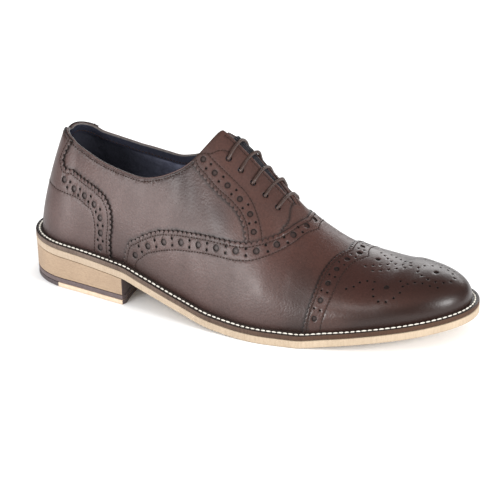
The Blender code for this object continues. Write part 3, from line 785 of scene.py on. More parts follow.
def panel(name, outline, cutouts, holes, rows, low, high, material, grid=0.0008, rim=0.00022,
          groove=0.00018, shaded=(), punched=()):
    """A cut leather on the last, with punched holes, sewn grooves and softened edges.

    Holes are (centre, radius) and rows are lines of stitches, all on the pattern. Shaded holds
    the edges of the leathers that lie on this one, beside which a shadow is painted. Punched holes
    get a floor painted dark as the shade inside them."""
    holes = list(holes) + list(punched)
    loops = [outline] + list(cutouts)
    rings = []
    for centre, radius in holes:
        count = 18 if radius > LARGE_RADIUS else 10
        loops.append(circle(centre, radius, count))
        rings.append(circle(centre, radius + RIM, count))
    for loop in [outline] + list(cutouts):
        closed = np.vstack([loop, loop[:1]])
        rings += [offset(closed, RIM)[:-1], offset(closed, -RIM)[:-1]]
    for row in rows:
        middle = spaced(row, 0.0009)
        rings += [middle, offset(middle, GROOVE), offset(middle, -GROOVE)]

    edge = []
    for loop in loops:
        closed = np.vstack([loop, loop[:1]])
        edge.append(on_last(spaced(closed, 0.00018)))
    edge = np.vstack(edge)
    rings = np.vstack(rings)
    rings = rings[in_leather(rings, loops)]
    rings = rings[nearest(on_last(rings), edge) > RIM * 0.6]
    inner = staggered(outline, grid)
    inner = inner[in_leather(inner, loops)]
    features = np.vstack([edge, on_last(rings)]) if len(rings) else edge
    inner = inner[nearest(on_last(inner), features) > grid * 0.75]
    flat, faces = cut_leather(loops, list(rings) + list(inner))

    point = on_last(flat)
    from_edge = nearest(point, edge)
    height = high - rim * (1 - np.clip(from_edge / RIM, 0, 1)) ** 2
    dark = np.exp(-(from_edge / EDGE_DYE) ** 2)
    if rows:
        seams = np.vstack([on_last(spaced(row, 0.0002)) for row in rows])
        near_seam = np.exp(-(nearest(point, seams) / (0.75 * GROOVE)) ** 2)
        height = height - groove * near_seam
        # Painted shade: the leather is darkened along the sewn grooves
        dark = np.maximum(dark, 0.85 * near_seam)
    # Painted shadow on the leather beside the edges of the leathers that lie on it
    if len(shaded):
        borders = np.vstack([on_last(spaced(border, 0.0003)) for border in shaded])
        dark = np.maximum(dark, 0.85 * np.exp(-(nearest(point, borders) / COVER_SHADOW) ** 2))

    marks = {"burnish_and_shade": burnished_and_shaded(flat), "warm": warmed(flat), "dark": dark}
    marks = {key: [np.tile(value, 2)] for key, value in marks.items()}
    points = [lifted(flat, height), lifted(flat, low)]
    all_faces, size = both_faces(faces, len(flat)), 2 * len(flat)
    # The punched holes' floors are painted dark as the shade inside the holes, the big ones less in their
    # middles
    for centre, radius in punched:
        depth, middle_dark = (BIG_FLOOR, 0.35) if radius > LARGE_RADIUS else (SMALL_FLOOR, 0.9)
        floor = np.vstack([circle(centre, radius * 1.04, FLOOR_SIDES), [centre]])
        points.append(lifted(floor, high - depth))
        for k in range(FLOOR_SIDES):
            all_faces.append((size + k, size + (k + 1) % FLOOR_SIDES, size + FLOOR_SIDES))
        size += FLOOR_SIDES + 1
        marks["burnish_and_shade"].append(burnished_and_shaded(floor))
        marks["warm"].append(warmed(floor))
        marks["dark"].append(np.append(np.full(FLOOR_SIDES, 0.95), middle_dark))
    marks = {key: np.concatenate(value) for key, value in marks.items()}
    return make_mesh(name, np.vstack(points), all_faces, material, 50, marks)


def fresh_material(name):
    """A new material with its tree, its shader and the piece's own coordinates."""
    material = bpy.data.materials.new(name)
    material.use_nodes = True
    tree = material.node_tree
    where = tree.nodes.new("ShaderNodeTexCoord").outputs["Object"]
    return material, tree, tree.nodes["Principled BSDF"], where


def link(tree, source, target):
    tree.links.new(source, target)


def node(tree, kind, **settings):
    made = tree.nodes.new(kind)
    for key, value in settings.items():
        if key in made.inputs:
            made.inputs[key].default_value = value
        else:
            setattr(made, key, value)
    return made


def mixed(tree, factor, first, second, blend="MIX"):
    """A colour mix; each argument is a socket, a colour or a number."""
    mix = tree.nodes.new("ShaderNodeMix")
    mix.data_type = "RGBA"
    mix.blend_type = blend
    for socket, value in ((mix.inputs[0], factor), (mix.inputs[6], first), (mix.inputs[7], second)):
        if isinstance(value, bpy.types.NodeSocket):
            link(tree, value, socket)
        elif isinstance(value, tuple):
            socket.default_value = (*value, 1.0)
        else:
            socket.default_value = value
    return mix.outputs[2]


def ranged(tree, value, low, high, to_low, to_high):
    remap = tree.nodes.new("ShaderNodeMapRange")
    remap.inputs["From Min"].default_value = low
    remap.inputs["From Max"].default_value = high
    remap.inputs["To Min"].default_value = to_low
    remap.inputs["To Max"].default_value = to_high
    link(tree, value, remap.inputs["Value"])
    return remap.outputs[0]


def noise(tree, where, scale, detail=3.0, roughness=0.55):
    texture = tree.nodes.new("ShaderNodeTexNoise")
    texture.inputs["Scale"].default_value = scale
    texture.inputs["Detail"].default_value = detail
    texture.inputs["Roughness"].default_value = roughness
    link(tree, where, texture.inputs["Vector"])
    return texture.outputs["Fac"]


def bump(tree, height, strength, distance, below=None):
    lump = tree.nodes.new("ShaderNodeBump")
    lump.inputs["Strength"].default_value = strength
    lump.inputs["Distance"].default_value = distance
    link(tree, height, lump.inputs["Height"])
    if below:
        link(tree, below, lump.inputs["Normal"])
    return lump.outputs[0]


def attribute(tree, name):
    return node(tree, "ShaderNodeAttribute", attribute_name=name).outputs["Fac"]


def place_along(tree, where):
    """The place along the shoe."""
    parts = tree.nodes.new("ShaderNodeSeparateXYZ")
    link(tree, where, parts.inputs[0])
    return parts.outputs["X"]


def leather(name, colour, warm, dark, rough, grain, coat, gloss=0.3):
    """Smooth dyed leather with a fine grain: reddish where "warm" says, darker where the burnish mark says,
    partly as rubbed burnish and partly as painted shade, and nearly black where "dark" says, on the dyed cut
    edges and as painted shade along the sewn grooves, beside the leathers lying on it and on the holes'
    floors."""
    material, tree, shader, where = fresh_material(name)
    tinted = mixed(tree, attribute(tree, "warm"), colour, warm)
    broad = ranged(tree, noise(tree, where, 30.0), 0.35, 0.68, 0.0, 0.35)
    mottled = mixed(tree, broad, tinted, dark)
    fine = ranged(tree, noise(tree, where, 800.0, 3.0), 0.35, 0.70, 0.0, 0.42)
    mottled = mixed(tree, fine, mottled, dark)
    # Darker by the burnish mark, partly rubbed burnish and partly painted shade
    rubbed_and_shaded = mixed(tree, attribute(tree, "burnish_and_shade"), mottled, dark)
    link(tree, mixed(tree, attribute(tree, "dark"), rubbed_and_shaded, INK_AND_SHADE), shader.inputs["Base Color"])
    cells = tree.nodes.new("ShaderNodeTexVoronoi")
    cells.feature = "SMOOTH_F1"
    cells.inputs["Scale"].default_value = 820.0
    link(tree, where, cells.inputs["Vector"])
    first = bump(tree, cells.outputs["Distance"], grain, 0.00030)
    second = bump(tree, noise(tree, where, 2400.0, 2.0), grain * 0.7, 0.00008, first)
    third = bump(tree, noise(tree, where, 120.0, 3.0), 0.30, 0.0004, second)
    link(tree, third, shader.inputs["Normal"])
    worn = ranged(tree, noise(tree, where, 60.0), 0.3, 0.7, rough - 0.05, rough + 0.07)
    matt = node(tree, "ShaderNodeMath", operation="MAXIMUM")
    link(tree, worn, matt.inputs[0])
    link(tree, ranged(tree, attribute(tree, "dark"), 0.0, 1.0, 0.0, 0.95), matt.inputs[1])
    link(tree, matt.outputs[0], shader.inputs["Roughness"])
    shader.inputs["Specular IOR Level"].default_value = gloss
    shader.inputs["Coat Weight"].default_value = coat
    shader.inputs["Coat Roughness"].default_value = 0.30
    return material


def plain_finish(name, colour, dark, rough, scale, strength=0.3, distance=0.0002, coat=0.0, gloss=0.5):
    """A matt or waxed finish with a fine mottle."""
    material, tree, shader, where = fresh_material(name)
    mottle = ranged(tree, noise(tree, where, scale, 4.0), 0.3, 0.7, 0.0, 1.0)
    link(tree, mixed(tree, mottle, colour, dark), shader.inputs["Base Color"])
    link(tree, bump(tree, noise(tree, where, scale * 6, 3.0), strength, distance), shader.inputs["Normal"])
    link(tree, ranged(tree, mottle, 0.0, 1.0, rough - 0.04, rough + 0.05), shader.inputs["Roughness"])
    shader.inputs["Coat Weight"].default_value = coat
    shader.inputs["Specular IOR Level"].default_value = gloss
    return material


def lining_finish(name, colour, dark, back):
    """Glazed lining leather, creased finely, painted darker towards the heel as the shade deep in the shoe.
    """
    material, tree, shader, where = fresh_material(name)
    # Painted shade: the colour turns to the back colour towards the heel
    behind = ranged(tree, place_along(tree, where), -0.045, -0.100, 0.0, 1.0)
    mottled = mixed(tree, ranged(tree, noise(tree, where, 260.0, 4.0), 0.35, 0.65, 0.0, 1.0), colour, dark)
    link(tree, mixed(tree, behind, mottled, back), shader.inputs["Base Color"])
    creases = bump(tree, noise(tree, where, 180.0, 4.0), 0.7, 0.0008)
    link(tree, bump(tree, noise(tree, where, 1500.0, 2.0), 0.5, 0.0002, creases), shader.inputs["Normal"])
    shader.inputs["Roughness"].default_value = 0.36
    shader.inputs["Coat Weight"].default_value = 0.3
    return material


# Near-black brown: the dye of the cut edges, and the painted shade along grooves, beside covering leathers
# and on the holes' floors
INK_AND_SHADE = (0.010, 0.006, 0.005)
QUARTER = leather("quarter leather", (0.092, 0.051, 0.045), (0.080, 0.037, 0.029), (0.026, 0.013, 0.012),
                  0.42, 0.42, 0.10, 0.38)
VAMP = leather("vamp leather", (0.086, 0.046, 0.040), (0.062, 0.025, 0.019), (0.020, 0.009, 0.007),
               0.42, 0.38, 0.10, 0.38)
CAP_LEATHER = leather("cap leather", (0.058, 0.026, 0.020), (0.038, 0.015, 0.012), (0.019, 0.009, 0.007),
                      0.34, 0.26, 0.18, 0.28)
FACING = leather("facing leather", (0.074, 0.037, 0.029), (0.071, 0.032, 0.025), (0.025, 0.012, 0.010),
                 0.46, 0.42, 0.06, 0.30)
# The lining's first two colours are paler than its navy, as painted light and sheen on the inside; the third,
# towards the heel, is painted shade
LINING = lining_finish("navy lining", (0.210, 0.220, 0.300), (0.125, 0.132, 0.190),
                       (0.030, 0.031, 0.042))
TAPE = plain_finish("navy tape", (0.026, 0.028, 0.044), (0.015, 0.016, 0.026), 0.42, 600.0, 0.6,
                    0.0003, 0.1)
SOCK = plain_finish("sock lining", (0.016, 0.018, 0.030), (0.010, 0.011, 0.018), 0.55, 300.0)
TONGUE_FINISH = plain_finish("tongue leather", (0.014, 0.013, 0.017), (0.008, 0.008, 0.011), 0.50, 300.0,
                             gloss=0.3)
# Paler and greyer than the leather: a painted highlight along the collar's rim
RIM_HIGHLIGHT_FINISH = plain_finish("folded edge", (0.120, 0.105, 0.100), (0.070, 0.060, 0.056), 0.45, 600.0,
                           gloss=0.4)
THREAD = plain_finish("brown thread", (0.034, 0.016, 0.011), (0.020, 0.009, 0.007), 0.62, 900.0,
                      gloss=0.2)
WHITE_THREAD = plain_finish("white thread", (0.78, 0.75, 0.68), (0.60, 0.56, 0.48), 0.60, 900.0)
WELT_FINISH = plain_finish("welt leather", (0.030, 0.020, 0.017), (0.020, 0.013, 0.011), 0.48, 300.0)


def edge_finish(name, heel, toe, dark, rough, layers=0.0, grain=(1.0, 1.0, 0.12), turn=24, gloss=0.3):
    """The cut and filed edge of sole leather: one colour at the heel and one at the toe, with
    fine slanting file marks and, in the stack, the lines between its lifts."""
    material, tree, shader, where = fresh_material(name)
    along = ranged(tree, place_along(tree, where), -0.10, 0.08, 0.0, 1.0)
    base = mixed(tree, along, heel, toe)
    slanted = tree.nodes.new("ShaderNodeMapping")
    slanted.inputs["Rotation"].default_value = (0.0, math.radians(turn), 0.0)
    slanted.inputs["Scale"].default_value = grain
    link(tree, where, slanted.inputs["Vector"])
    marks = noise(tree, slanted.outputs[0], 1500.0, 3.0, 0.6)
    base = mixed(tree, ranged(tree, marks, 0.40, 0.75, 0.0, 0.55), base, dark)
    broad = noise(tree, where, 60.0, 3.0)
    base = mixed(tree, ranged(tree, broad, 0.40, 0.75, 0.0, 0.35), base, dark)
    height = bump(tree, marks, 0.35, 0.0002)
    if layers:
        wave = tree.nodes.new("ShaderNodeTexWave")
        wave.wave_type, wave.bands_direction, wave.wave_profile = "BANDS", "Z", "SAW"
        wave.inputs["Scale"].default_value = 2 * math.pi / (20 * layers)
        wave.inputs["Distortion"].default_value = 0.25
        wave.inputs["Detail Scale"].default_value = 4.0
        link(tree, where, wave.inputs["Vector"])
        lines = ranged(tree, wave.outputs["Fac"], 0.93, 1.0, 0.0, 0.5)
        base = mixed(tree, lines, base, dark)
    link(tree, base, shader.inputs["Base Color"])
    link(tree, height, shader.inputs["Normal"])
    link(tree, ranged(tree, marks, 0.3, 0.7, rough - 0.05, rough + 0.08), shader.inputs["Roughness"])
    shader.inputs["Specular IOR Level"].default_value = gloss
    return material


SOLE_FINISH = edge_finish("sole leather", (0.40, 0.315, 0.235), (0.43, 0.34, 0.245),
                          (0.27, 0.20, 0.135), 0.6)
STACK_FINISH = edge_finish("stacked leather", (0.34, 0.245, 0.165), (0.34, 0.245, 0.165),
                           (0.20, 0.135, 0.09), 0.6, 0.0042, (0.4, 0.4, 1.2), 0)
WELT_EDGE = edge_finish("welt edge", (0.150, 0.112, 0.092), (0.068, 0.036, 0.022),
                        (0.036, 0.022, 0.017), 0.6, gloss=0.12)
LIFT_FINISH = plain_finish("dark lift", (0.10, 0.070, 0.070), (0.075, 0.052, 0.052), 0.55, 300.0)
TOP_PIECE_FINISH = plain_finish("top piece", (0.60, 0.47, 0.35), (0.50, 0.38, 0.27), 0.6, 300.0)
RUBBER = plain_finish("heel rubber", (0.070, 0.052, 0.054), (0.05, 0.038, 0.040), 0.65, 500.0)
LACE_FINISH = plain_finish("waxed lace", (0.062, 0.036, 0.029), (0.032, 0.018, 0.014), 0.48, 900.0,
                           0.6, 0.0002, 0.05, 0.4)


# Panels

def arc(side, first, last, rise, step=0.0012):
    """A pattern line round the last at one rise."""
    around = np.linspace(first, last, 300)
    return spaced(pattern(side, around, np.full(300, rise)), step)


def gimped(flat, outward=1, depth=GIMP_DEPTH, pitch=GIMP_PITCH):
    """A pinked edge: small rounded teeth along a line, standing out to its left if outward is 1."""
    count = max(int(round(lengths(flat)[-1] / pitch)), 1)
    points = spaced(flat, lengths(flat)[-1] / (count * 10))
    phase = np.arange(len(points)) % 10 / 10
    tooth = np.sin(math.pi * phase) ** 0.65
    return offset(points, outward * depth * (tooth - 0.5))


def join(*lines):
    rows = [lines[0]]
    for following in lines[1:]:
        gap = np.linalg.norm(following[0] - rows[-1][-1])
        rows.append(following[1:] if gap < 0.0003 else following)
    result = np.vstack(rows)
    keep = np.ones(len(result), bool)
    keep[1:] = np.linalg.norm(np.diff(result, axis=0), axis=1) > 0.00005
    result = result[keep]
    return result[:-1] if np.linalg.norm(result[0] - result[-1]) < 0.0003 else result


def band(flat, start, end, pitch=HOLE_PITCH, big=BIG_HOLE, small=SMALL_HOLE, spread=0.0021):
    """Big holes along a line with pairs of small ones between, as (centre, radius)."""
    at = lengths(flat)[-1]
    count = max(int(round((at - start - end) / pitch)), 1)
    fine = spaced(flat, (at - start - end) / (2 * count), start, end)
    holes = [(centre, big / 2) for centre in fine[::2]]
    for distance in (-spread, spread):
        holes += [(centre, small / 2) for centre in offset(fine, distance)[1::2]]
    return holes


def smooth_step(value, low, high):
    t = np.clip((value - low) / (high - low), 0, 1)
    return t * t * (3 - 2 * t)


def burnished_and_shaded(flat):
    """How much darker the leather is made: rubbed burnish towards the toe and the heel; painted shade in the
    folds by the ankle and low on the sides towards the toe; partly burnish and partly painted shade on the
    vamp just behind the cap's seam; and darker near the welt, low in the waist and under the collar.
    """
    _, _, rise = unpattern(flat)
    point = on_last(flat)
    share = point[:, 0] / LENGTH
    low = 0.75 * np.exp(-np.clip(rise, 0, 1) / 0.055)
    toe = 0.8 * smooth_step(share, 0.80, 1.0)
    back = 0.75 * smooth_step(-share, -0.12, 0.01)
    waist = 0.35 * np.exp(-((share - 0.27) / 0.07) ** 2) * smooth_step(-rise, -0.35, -0.05)
    height = point[:, 2] - feather(point[:, 0])
    collar = height / (BACK_HEIGHT * read(COLLAR, 1, share))
    top = 0.32 * smooth_step(collar, 0.82, 1.02) * (share < 0.46)
    # Painted shade in the folds by the ankle, below the facing
    ankle = 0.85 * np.exp(-((share - 0.415) / 0.065) ** 2 - ((rise - 0.53) / 0.13) ** 2)
    ankle = ankle + 0.60 * np.exp(-((share - 0.505) / 0.035) ** 2 - ((rise - 0.50) / 0.13) ** 2)
    # Just behind the cap's seam partly burnish and partly painted shade; low on the sides towards the toe,
    # painted shade
    seam = 0.75 * np.exp(-((share - 0.705) / 0.04) ** 2) * smooth_step(-rise, -0.80, -0.35) * (share < 0.73)
    side = 0.80 * smooth_step(share, 0.76, 0.84) * smooth_step(-rise, -0.45, -0.15)
    return np.clip(low + toe + back + waist + top + ankle + seam + side, 0, 1)


def warmed(flat):
    """Where the dye turns redder: the instep and the facings."""
    _, _, rise = unpattern(flat)
    share = flat[:, 0] / LENGTH
    return smooth_step(rise, 0.30, 0.65) * smooth_step(share, 0.28, 0.42)


def before(flat, x):
    """A line's part behind a place along the shoe."""
    return flat[on_last(flat)[:, 0] < x]


def split_at(flat, rise):
    """A line's two parts, up to where it first climbs past a rise and from there on."""
    at = int(np.argmax(unpattern(flat)[2] > rise))
    return flat[:at + 1], flat[at:]


# Heights of the layers over the last: the lining's inside, the quarters, the leathers on them
# and the cap on the vamp, each a hair's breadth clear of the next
CLEAR = 0.00002
INSIDE = -(SKIN_DEPTH + WALL)
SKIN_LOW = INSIDE + 0.0008
SKIN_HIGH = -SKIN_DEPTH
OVER_LOW = SKIN_HIGH + CLEAR
OVER_HIGH = FIT - SKIN_DEPTH + OVERLAY
FACING_HIGH = OVER_HIGH - 0.0004
CAP_LOW = OVER_HIGH + CLEAR
CAP_HIGH = FIT - SKIN_DEPTH + CAP

vamp_line = {side: line(VAMP_EDGE, side) for side in SIDES}
cap_line = {side: line(CAP_EDGE, side) for side in SIDES}
counter_line = {side: line(COUNTER_EDGE, side) for side in SIDES}
facing_rear = {side: line(FACING_EDGE, side) for side in SIDES}

# Eyelets: for each row from the lowest up, its place around and each side's rise
EYELETS = []
for row in range(EYELET_ROWS):
    around = around_at(THROAT_BASE - EYELET_FROM_BASE - row * EYELET_PITCH)
    rises = {}
    for side in SIDES:
        top = top_rises(side, np.array([around]))[0]
        down = np.linspace(top, 0.3, 700)
        gone = travelled(last_points(side, np.full(700, around), down))
        rises[side] = np.interp(EYELET_INSET, gone, down)
    EYELETS.append((around, rises))
eyelet_holes = {side: [(pattern(side, np.array(around), np.array(rises[side])), EYELET_BORE / 2)
                       for around, rises in EYELETS] for side in SIDES}

# Quarters, one shell round the heel that runs on under the vamp
under = {side: line(VAMP_UNDER, side) for side in SIDES}
quarter_front = around_of(VAMP_UNDER)
quarter_outline = join(
    arc(LATERAL, quarter_front, -1, TUCK),
    arc(MEDIAL, -1, quarter_front, TUCK),
    spaced(under[MEDIAL], 0.0015),
    spaced(under[LATERAL], 0.0015)[::-1],
)
collar_rows = {side: offset(before(TOP[side], COLLAR_ROW_END), side * COLLAR_ROW) for side in SIDES}
# Edges of the leathers lying on the quarters, beside which a shadow is painted
over_quarters = [gimped(counter_line[side], -side) for side in SIDES]
over_quarters += [gimped(vamp_line[side]) for side in SIDES]
over_quarters += [gimped(facing_rear[side], side) for side in SIDES]
quarters = panel("quarters", quarter_outline, [OPENING], eyelet_holes[LATERAL] + eyelet_holes[MEDIAL],
                 list(collar_rows.values()), SKIN_LOW, SKIN_HIGH, QUARTER, shaded=over_quarters)

# Vamp
vamp_back, vamp_front = around_of(VAMP_EDGE), around_of(CAP_UNDER)
cap_under = {side: line(CAP_UNDER, side) for side in SIDES}
vamp_parts = {side: split_at(vamp_line[side], 0.70) for side in SIDES}
vamp_outline = join(
    gimped(vamp_parts[LATERAL][0]),
    spaced(vamp_parts[LATERAL][1], 0.0008),
    spaced(vamp_parts[MEDIAL][1], 0.0008)[::-1],
    gimped(vamp_parts[MEDIAL][0][::-1]),
    arc(MEDIAL, vamp_back, vamp_front, TUCK),
    spaced(cap_under[MEDIAL], 0.0015),
    spaced(cap_under[LATERAL], 0.0015)[::-1],
    arc(LATERAL, vamp_front, vamp_back, TUCK),
)
vamp_holes, vamp_rows = [], []
for side in SIDES:
    vamp_holes += band(line(VAMP_HOLES, side), 0.006, 0.0055)
    vamp_rows.append(offset(vamp_line[side], side * VAMP_ROW))
    vamp_rows.append(line(VAMP_INNER, side))
# The cap's edge, beside which a shadow is painted on the vamp
over_vamp = [gimped(cap_line[side], 1, CAP_GIMP_DEPTH, CAP_GIMP_PITCH) for side in SIDES]
vamp = panel("vamp_leather", vamp_outline, [], [], vamp_rows, OVER_LOW, OVER_HIGH, VAMP, shaded=over_vamp,
             punched=vamp_holes)

# Toe cap
cap_start = around_of(CAP_EDGE)
cap_outline = join(
    gimped(cap_line[LATERAL], 1, CAP_GIMP_DEPTH, CAP_GIMP_PITCH),
    gimped(cap_line[MEDIAL][::-1], 1, CAP_GIMP_DEPTH, CAP_GIMP_PITCH),
    arc(MEDIAL, cap_start, 2, TUCK),
    arc(LATERAL, 2, cap_start, TUCK),
)
cap_holes, cap_rows = [], []
for side in SIDES:
    holes = band(line(CAP_HOLES, side), 0.0075, 0.0, CLOSE_PITCH, 0.0031, 0.0011, 0.0019)
    # Both rows end in the same hole on the ridge, so the second leaves it out
    places = [centre for centre, _ in cap_holes]
    cap_holes += [hole for hole in holes if all(np.abs(hole[0] - place).max() > 0.0002 for place in places)]
    cap_rows.append(offset(cap_line[side], side * CAP_ROW))
    cap_rows.append(line(CAP_INNER, side))


def from_above(x, y):
    """Pattern points under places seen from above, in metres on the last."""
    target = np.column_stack([x, y])
    middle = ridge_y(target[:, 0])
    flat = np.column_stack([target[:, 0], middle + (target[:, 1] - middle) * 0.5])
    for _ in range(25):
        point, px, py, _ = frames(flat)
        miss = target - point[:, :2]
        det = px[:, 0] * py[:, 1] - px[:, 1] * py[:, 0]
        step = np.column_stack([py[:, 1] * miss[:, 0] - py[:, 0] * miss[:, 1],
                                px[:, 0] * miss[:, 1] - px[:, 1] * miss[:, 0]]) / det[:, None]
        flat = flat + 0.7 * np.clip(step, -0.004, 0.004)
    return flat


# Medallion of the cap: lines of dots and big holes, as millimetres from the heel's back and
# from the ridge, each repeated on both sides
MEDALLION_LINES = (
    ((232.0, 10.8), (235.2, 8.2), (238.6, 5.4), (242.3, 2.6)),
    ((237.5, 13.0), (241.2, 11.0), (245.0, 8.9), (249.3, 6.3), (254.0, 4.0)),
    ((229.6, 31.0), (232.6, 29.4), (234.6, 25.6), (238.4, 22.6), (243.0, 21.8)),
    ((244.6, 27.2), (246.6, 31.0), (250.6, 33.0), (254.8, 32.3), (258.2, 29.6), (260.6, 25.6), (260.4, 21.2),
     (257.4, 17.8)),
    ((262.5, 5.0), (266.5, 7.8), (271.2, 9.2), (276.0, 8.8), (280.0, 6.4), (282.6, 2.6)),
    ((262.0, 18.4), (265.6, 15.4), (269.8, 14.0), (274.4, 13.6), (278.6, 12.0)),
)
MEDALLION_HOLES = ((234.8, 0.0), (252.0, 24.6), (272.4, 0.0))
MEDALLION_DOTS = ((246.2, 0.0), (251.0, 0.0), (255.8, 0.0), (260.6, 0.0))
DOT, DOT_PITCH = 0.0012, 0.0044
dots = []
for row in MEDALLION_LINES:
    path = curve_through(np.array(row) / 1000)
    at = travelled(path)
    places = np.linspace(0, at[-1], int(round(at[-1] / DOT_PITCH)) + 1)
    for side in SIDES:
        x = np.interp(places, at, path[:, 0])
        y = ridge_y(x) + side * np.interp(places, at, path[:, 1])
        dots += [(centre, DOT / 2) for centre in from_above(x, y)]
for x, y in MEDALLION_HOLES + MEDALLION_DOTS:
    radius = DOT / 2 if (x, y) in MEDALLION_DOTS else 0.0014
    for side in SIDES if y else (LATERAL,):
        middle = ridge_y(np.array([x / 1000]))
        dots.append((from_above(np.array([x / 1000]), middle + side * y / 1000)[0], radius))
cap_holes += dots
toe_cap = panel("cap_leather", cap_outline, [], [], cap_rows, CAP_LOW, CAP_HIGH, CAP_LEATHER,
                punched=cap_holes)

# Heel counter with its back strip
counter_foot = around_of(COUNTER_EDGE, -1)
counter_outline = join(
    gimped(counter_line[LATERAL]),
    arc(LATERAL, counter_foot, -1, TUCK),
    arc(MEDIAL, -1, counter_foot, TUCK),
    gimped(counter_line[MEDIAL][::-1]),
)
counter_holes, counter_rows = [], []
for side in SIDES:
    counter_holes += band(line(COUNTER_HOLES, side), 0.004, 0.004, CLOSE_PITCH)
    counter_rows.append(offset(counter_line[side], side * COUNTER_ROW))
    counter_rows.append(line(COUNTER_INNER, side))
counter_rows += list(collar_rows.values())
counter = panel("counter_leather", counter_outline, [OPENING], [], counter_rows,
                OVER_LOW, OVER_HIGH, QUARTER, punched=counter_holes)

# Facings
facings, facing_rows, facing_outlines = [], {}, {}
# Lines beside which a shadow is painted on each facing, besides the vamp's edge: the closing line, and on the
# inner facing also the outer side's upper vamp edge
over_facing = {LATERAL: [line(CLOSING, LATERAL)], MEDIAL: [line(CLOSING, LATERAL), vamp_parts[LATERAL][1]]}
FACING_TOP = {LATERAL: FACING_HIGH, MEDIAL: FACING_HIGH - 0.0003}
for side, name in ((LATERAL, "facing_leather_lateral"), (MEDIAL, "facing_leather_medial")):
    rear = facing_rear[side]
    front = line(FACING_UNDER, side)
    if side == LATERAL:
        seam = line(CLOSING, side)[::-1]
        pinked, plain = split_at(seam, CLOSING[3][1])
        closing = [gimped(pinked, -1, 0.0010, 0.0026), spaced(plain, 0.0008)]
        front = split_at(front, CLOSING[-1][1])[0]
    else:
        seam = offset(line(CLOSING, LATERAL), -0.0012)
        other = split_at(line(FACING_UNDER, LATERAL), CLOSING[-1][1])[1]
        closing = [spaced(other, 0.0012)[::-1], spaced(seam, 0.0008)[::-1]]
    ridge = arc(side, around_of(CLOSING), around_at(0.45 * LENGTH), 1.0)
    above = arc(side, around_at(0.45 * LENGTH), around_at(0.41 * LENGTH), 1.0)
    outline = join(gimped(rear, side), spaced(front, 0.0012), *closing, ridge, above)
    holes = band(line(FACING_HOLES, side), 0.003, 0.002, CLOSE_PITCH, 0.0036, 0.0014, 0.0020)

    # The vamp's holes go through the facing too, so that their floors show
    border = np.vstack([outline, outline[:1]])
    centres = np.array([centre for centre, _ in vamp_holes])
    from_border = nearest(on_last(centres), on_last(spaced(border, 0.0004)))
    through = [hole for hole, away in zip(vamp_holes, from_border)
               if in_loop(hole[0][None], outline)[0] or away < hole[1] + 0.0006]

    edge = TOP[side]
    throat_row = offset(edge[on_last(edge)[:, 0] > THROAT_ROW_START], side * THROAT_ROW)
    rows = [offset(rear, -side * FACING_ROW), line(FACING_INNER, side), line(FACING_FRONT, side), throat_row]
    shaded = [gimped(vamp_parts[side][0]), vamp_parts[side][1]] + over_facing[side]
    facings.append(panel(name, outline, [OPENING], eyelet_holes[side] + through, rows, OVER_LOW,
                         FACING_TOP[side], FACING, shaded=shaded, punched=holes))
    facing_rows[side], facing_outlines[side] = rows, outline

# Lining, a whole shell from the collar to the toe
lining_outline = join(arc(LATERAL, 2, -1, TUCK), arc(MEDIAL, -1, 2, TUCK))
lining = panel("lining", lining_outline, [OPENING], [], [], INSIDE, SKIN_LOW - CLEAR, LINING, grid=0.0016)

for piece in (quarters, lining):
    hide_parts("upper")
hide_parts("vamp")
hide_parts("toe_cap")
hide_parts("heel_counter")
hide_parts("facing_lateral")
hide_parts("facing_medial")
PIECES = [quarters, lining, vamp, toe_cap, counter] + facings


# Tubes: the collar's folded edge and the lace

def tube(name, points, radius, material, sides=10, closed=False):
    points = np.asarray(points)
    along = directions(np.vstack([points[-1:], points, points[:1]]))[1:-1] if closed else directions(points)
    side = np.cross(along[0], [0.3, 0.2, 0.9])
    angles = np.linspace(0, 2 * np.pi, sides, endpoint=False)[:, None]
    rows = []
    for point, direction in zip(points, along):
        side = side - direction * side.dot(direction)
        side /= np.linalg.norm(side)
        other = np.cross(direction, side)
        rows.append(point + radius * (np.cos(angles) * side + np.sin(angles) * other))
    count = len(points)
    faces = []
    for i in range(count if closed else count - 1):
        for j in range(sides):
            a, b = i * sides + j, i * sides + (j + 1) % sides
            c, d = ((i + 1) % count) * sides + (j + 1) % sides, ((i + 1) % count) * sides + j
            faces.append((a, d, c, b))
    if not closed:
        faces.append(tuple(range(sides)))
        faces.append(tuple(range(count * sides - 1, (count - 1) * sides - 1, -1)))
    return joined(name, np.vstack(rows), faces, material)


opening_line = spaced(np.vstack([OPENING, OPENING[:1]]), 0.0015)[:-1]
fold = tube("collar_fold", lifted(opening_line, SKIN_HIGH - 0.00050), 0.00050, QUARTER, 10, True)
binding = tube("collar_binding", lifted(opening_line, SKIN_LOW - 0.00045), 0.0006, RIM_HIGHLIGHT_FINISH, 10, True)
tape_line = {side: offset(before(TOP[side], TAPE_END), side * TAPE_WIDTH) for side in SIDES}
tape_rows = [offset(before(TOP[side], TAPE_END), side * TAPE_ROW) for side in SIDES]
tape_outline = join(spaced(tape_line[LATERAL], 0.001)[::-1], spaced(tape_line[MEDIAL], 0.001))
tape = panel("collar_tape", tape_outline, [OPENING], [], [], INSIDE - 0.0006, INSIDE + 0.0001, TAPE)
for piece in (fold, binding, tape):
    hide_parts("upper")
PIECES += [fold, binding, tape]


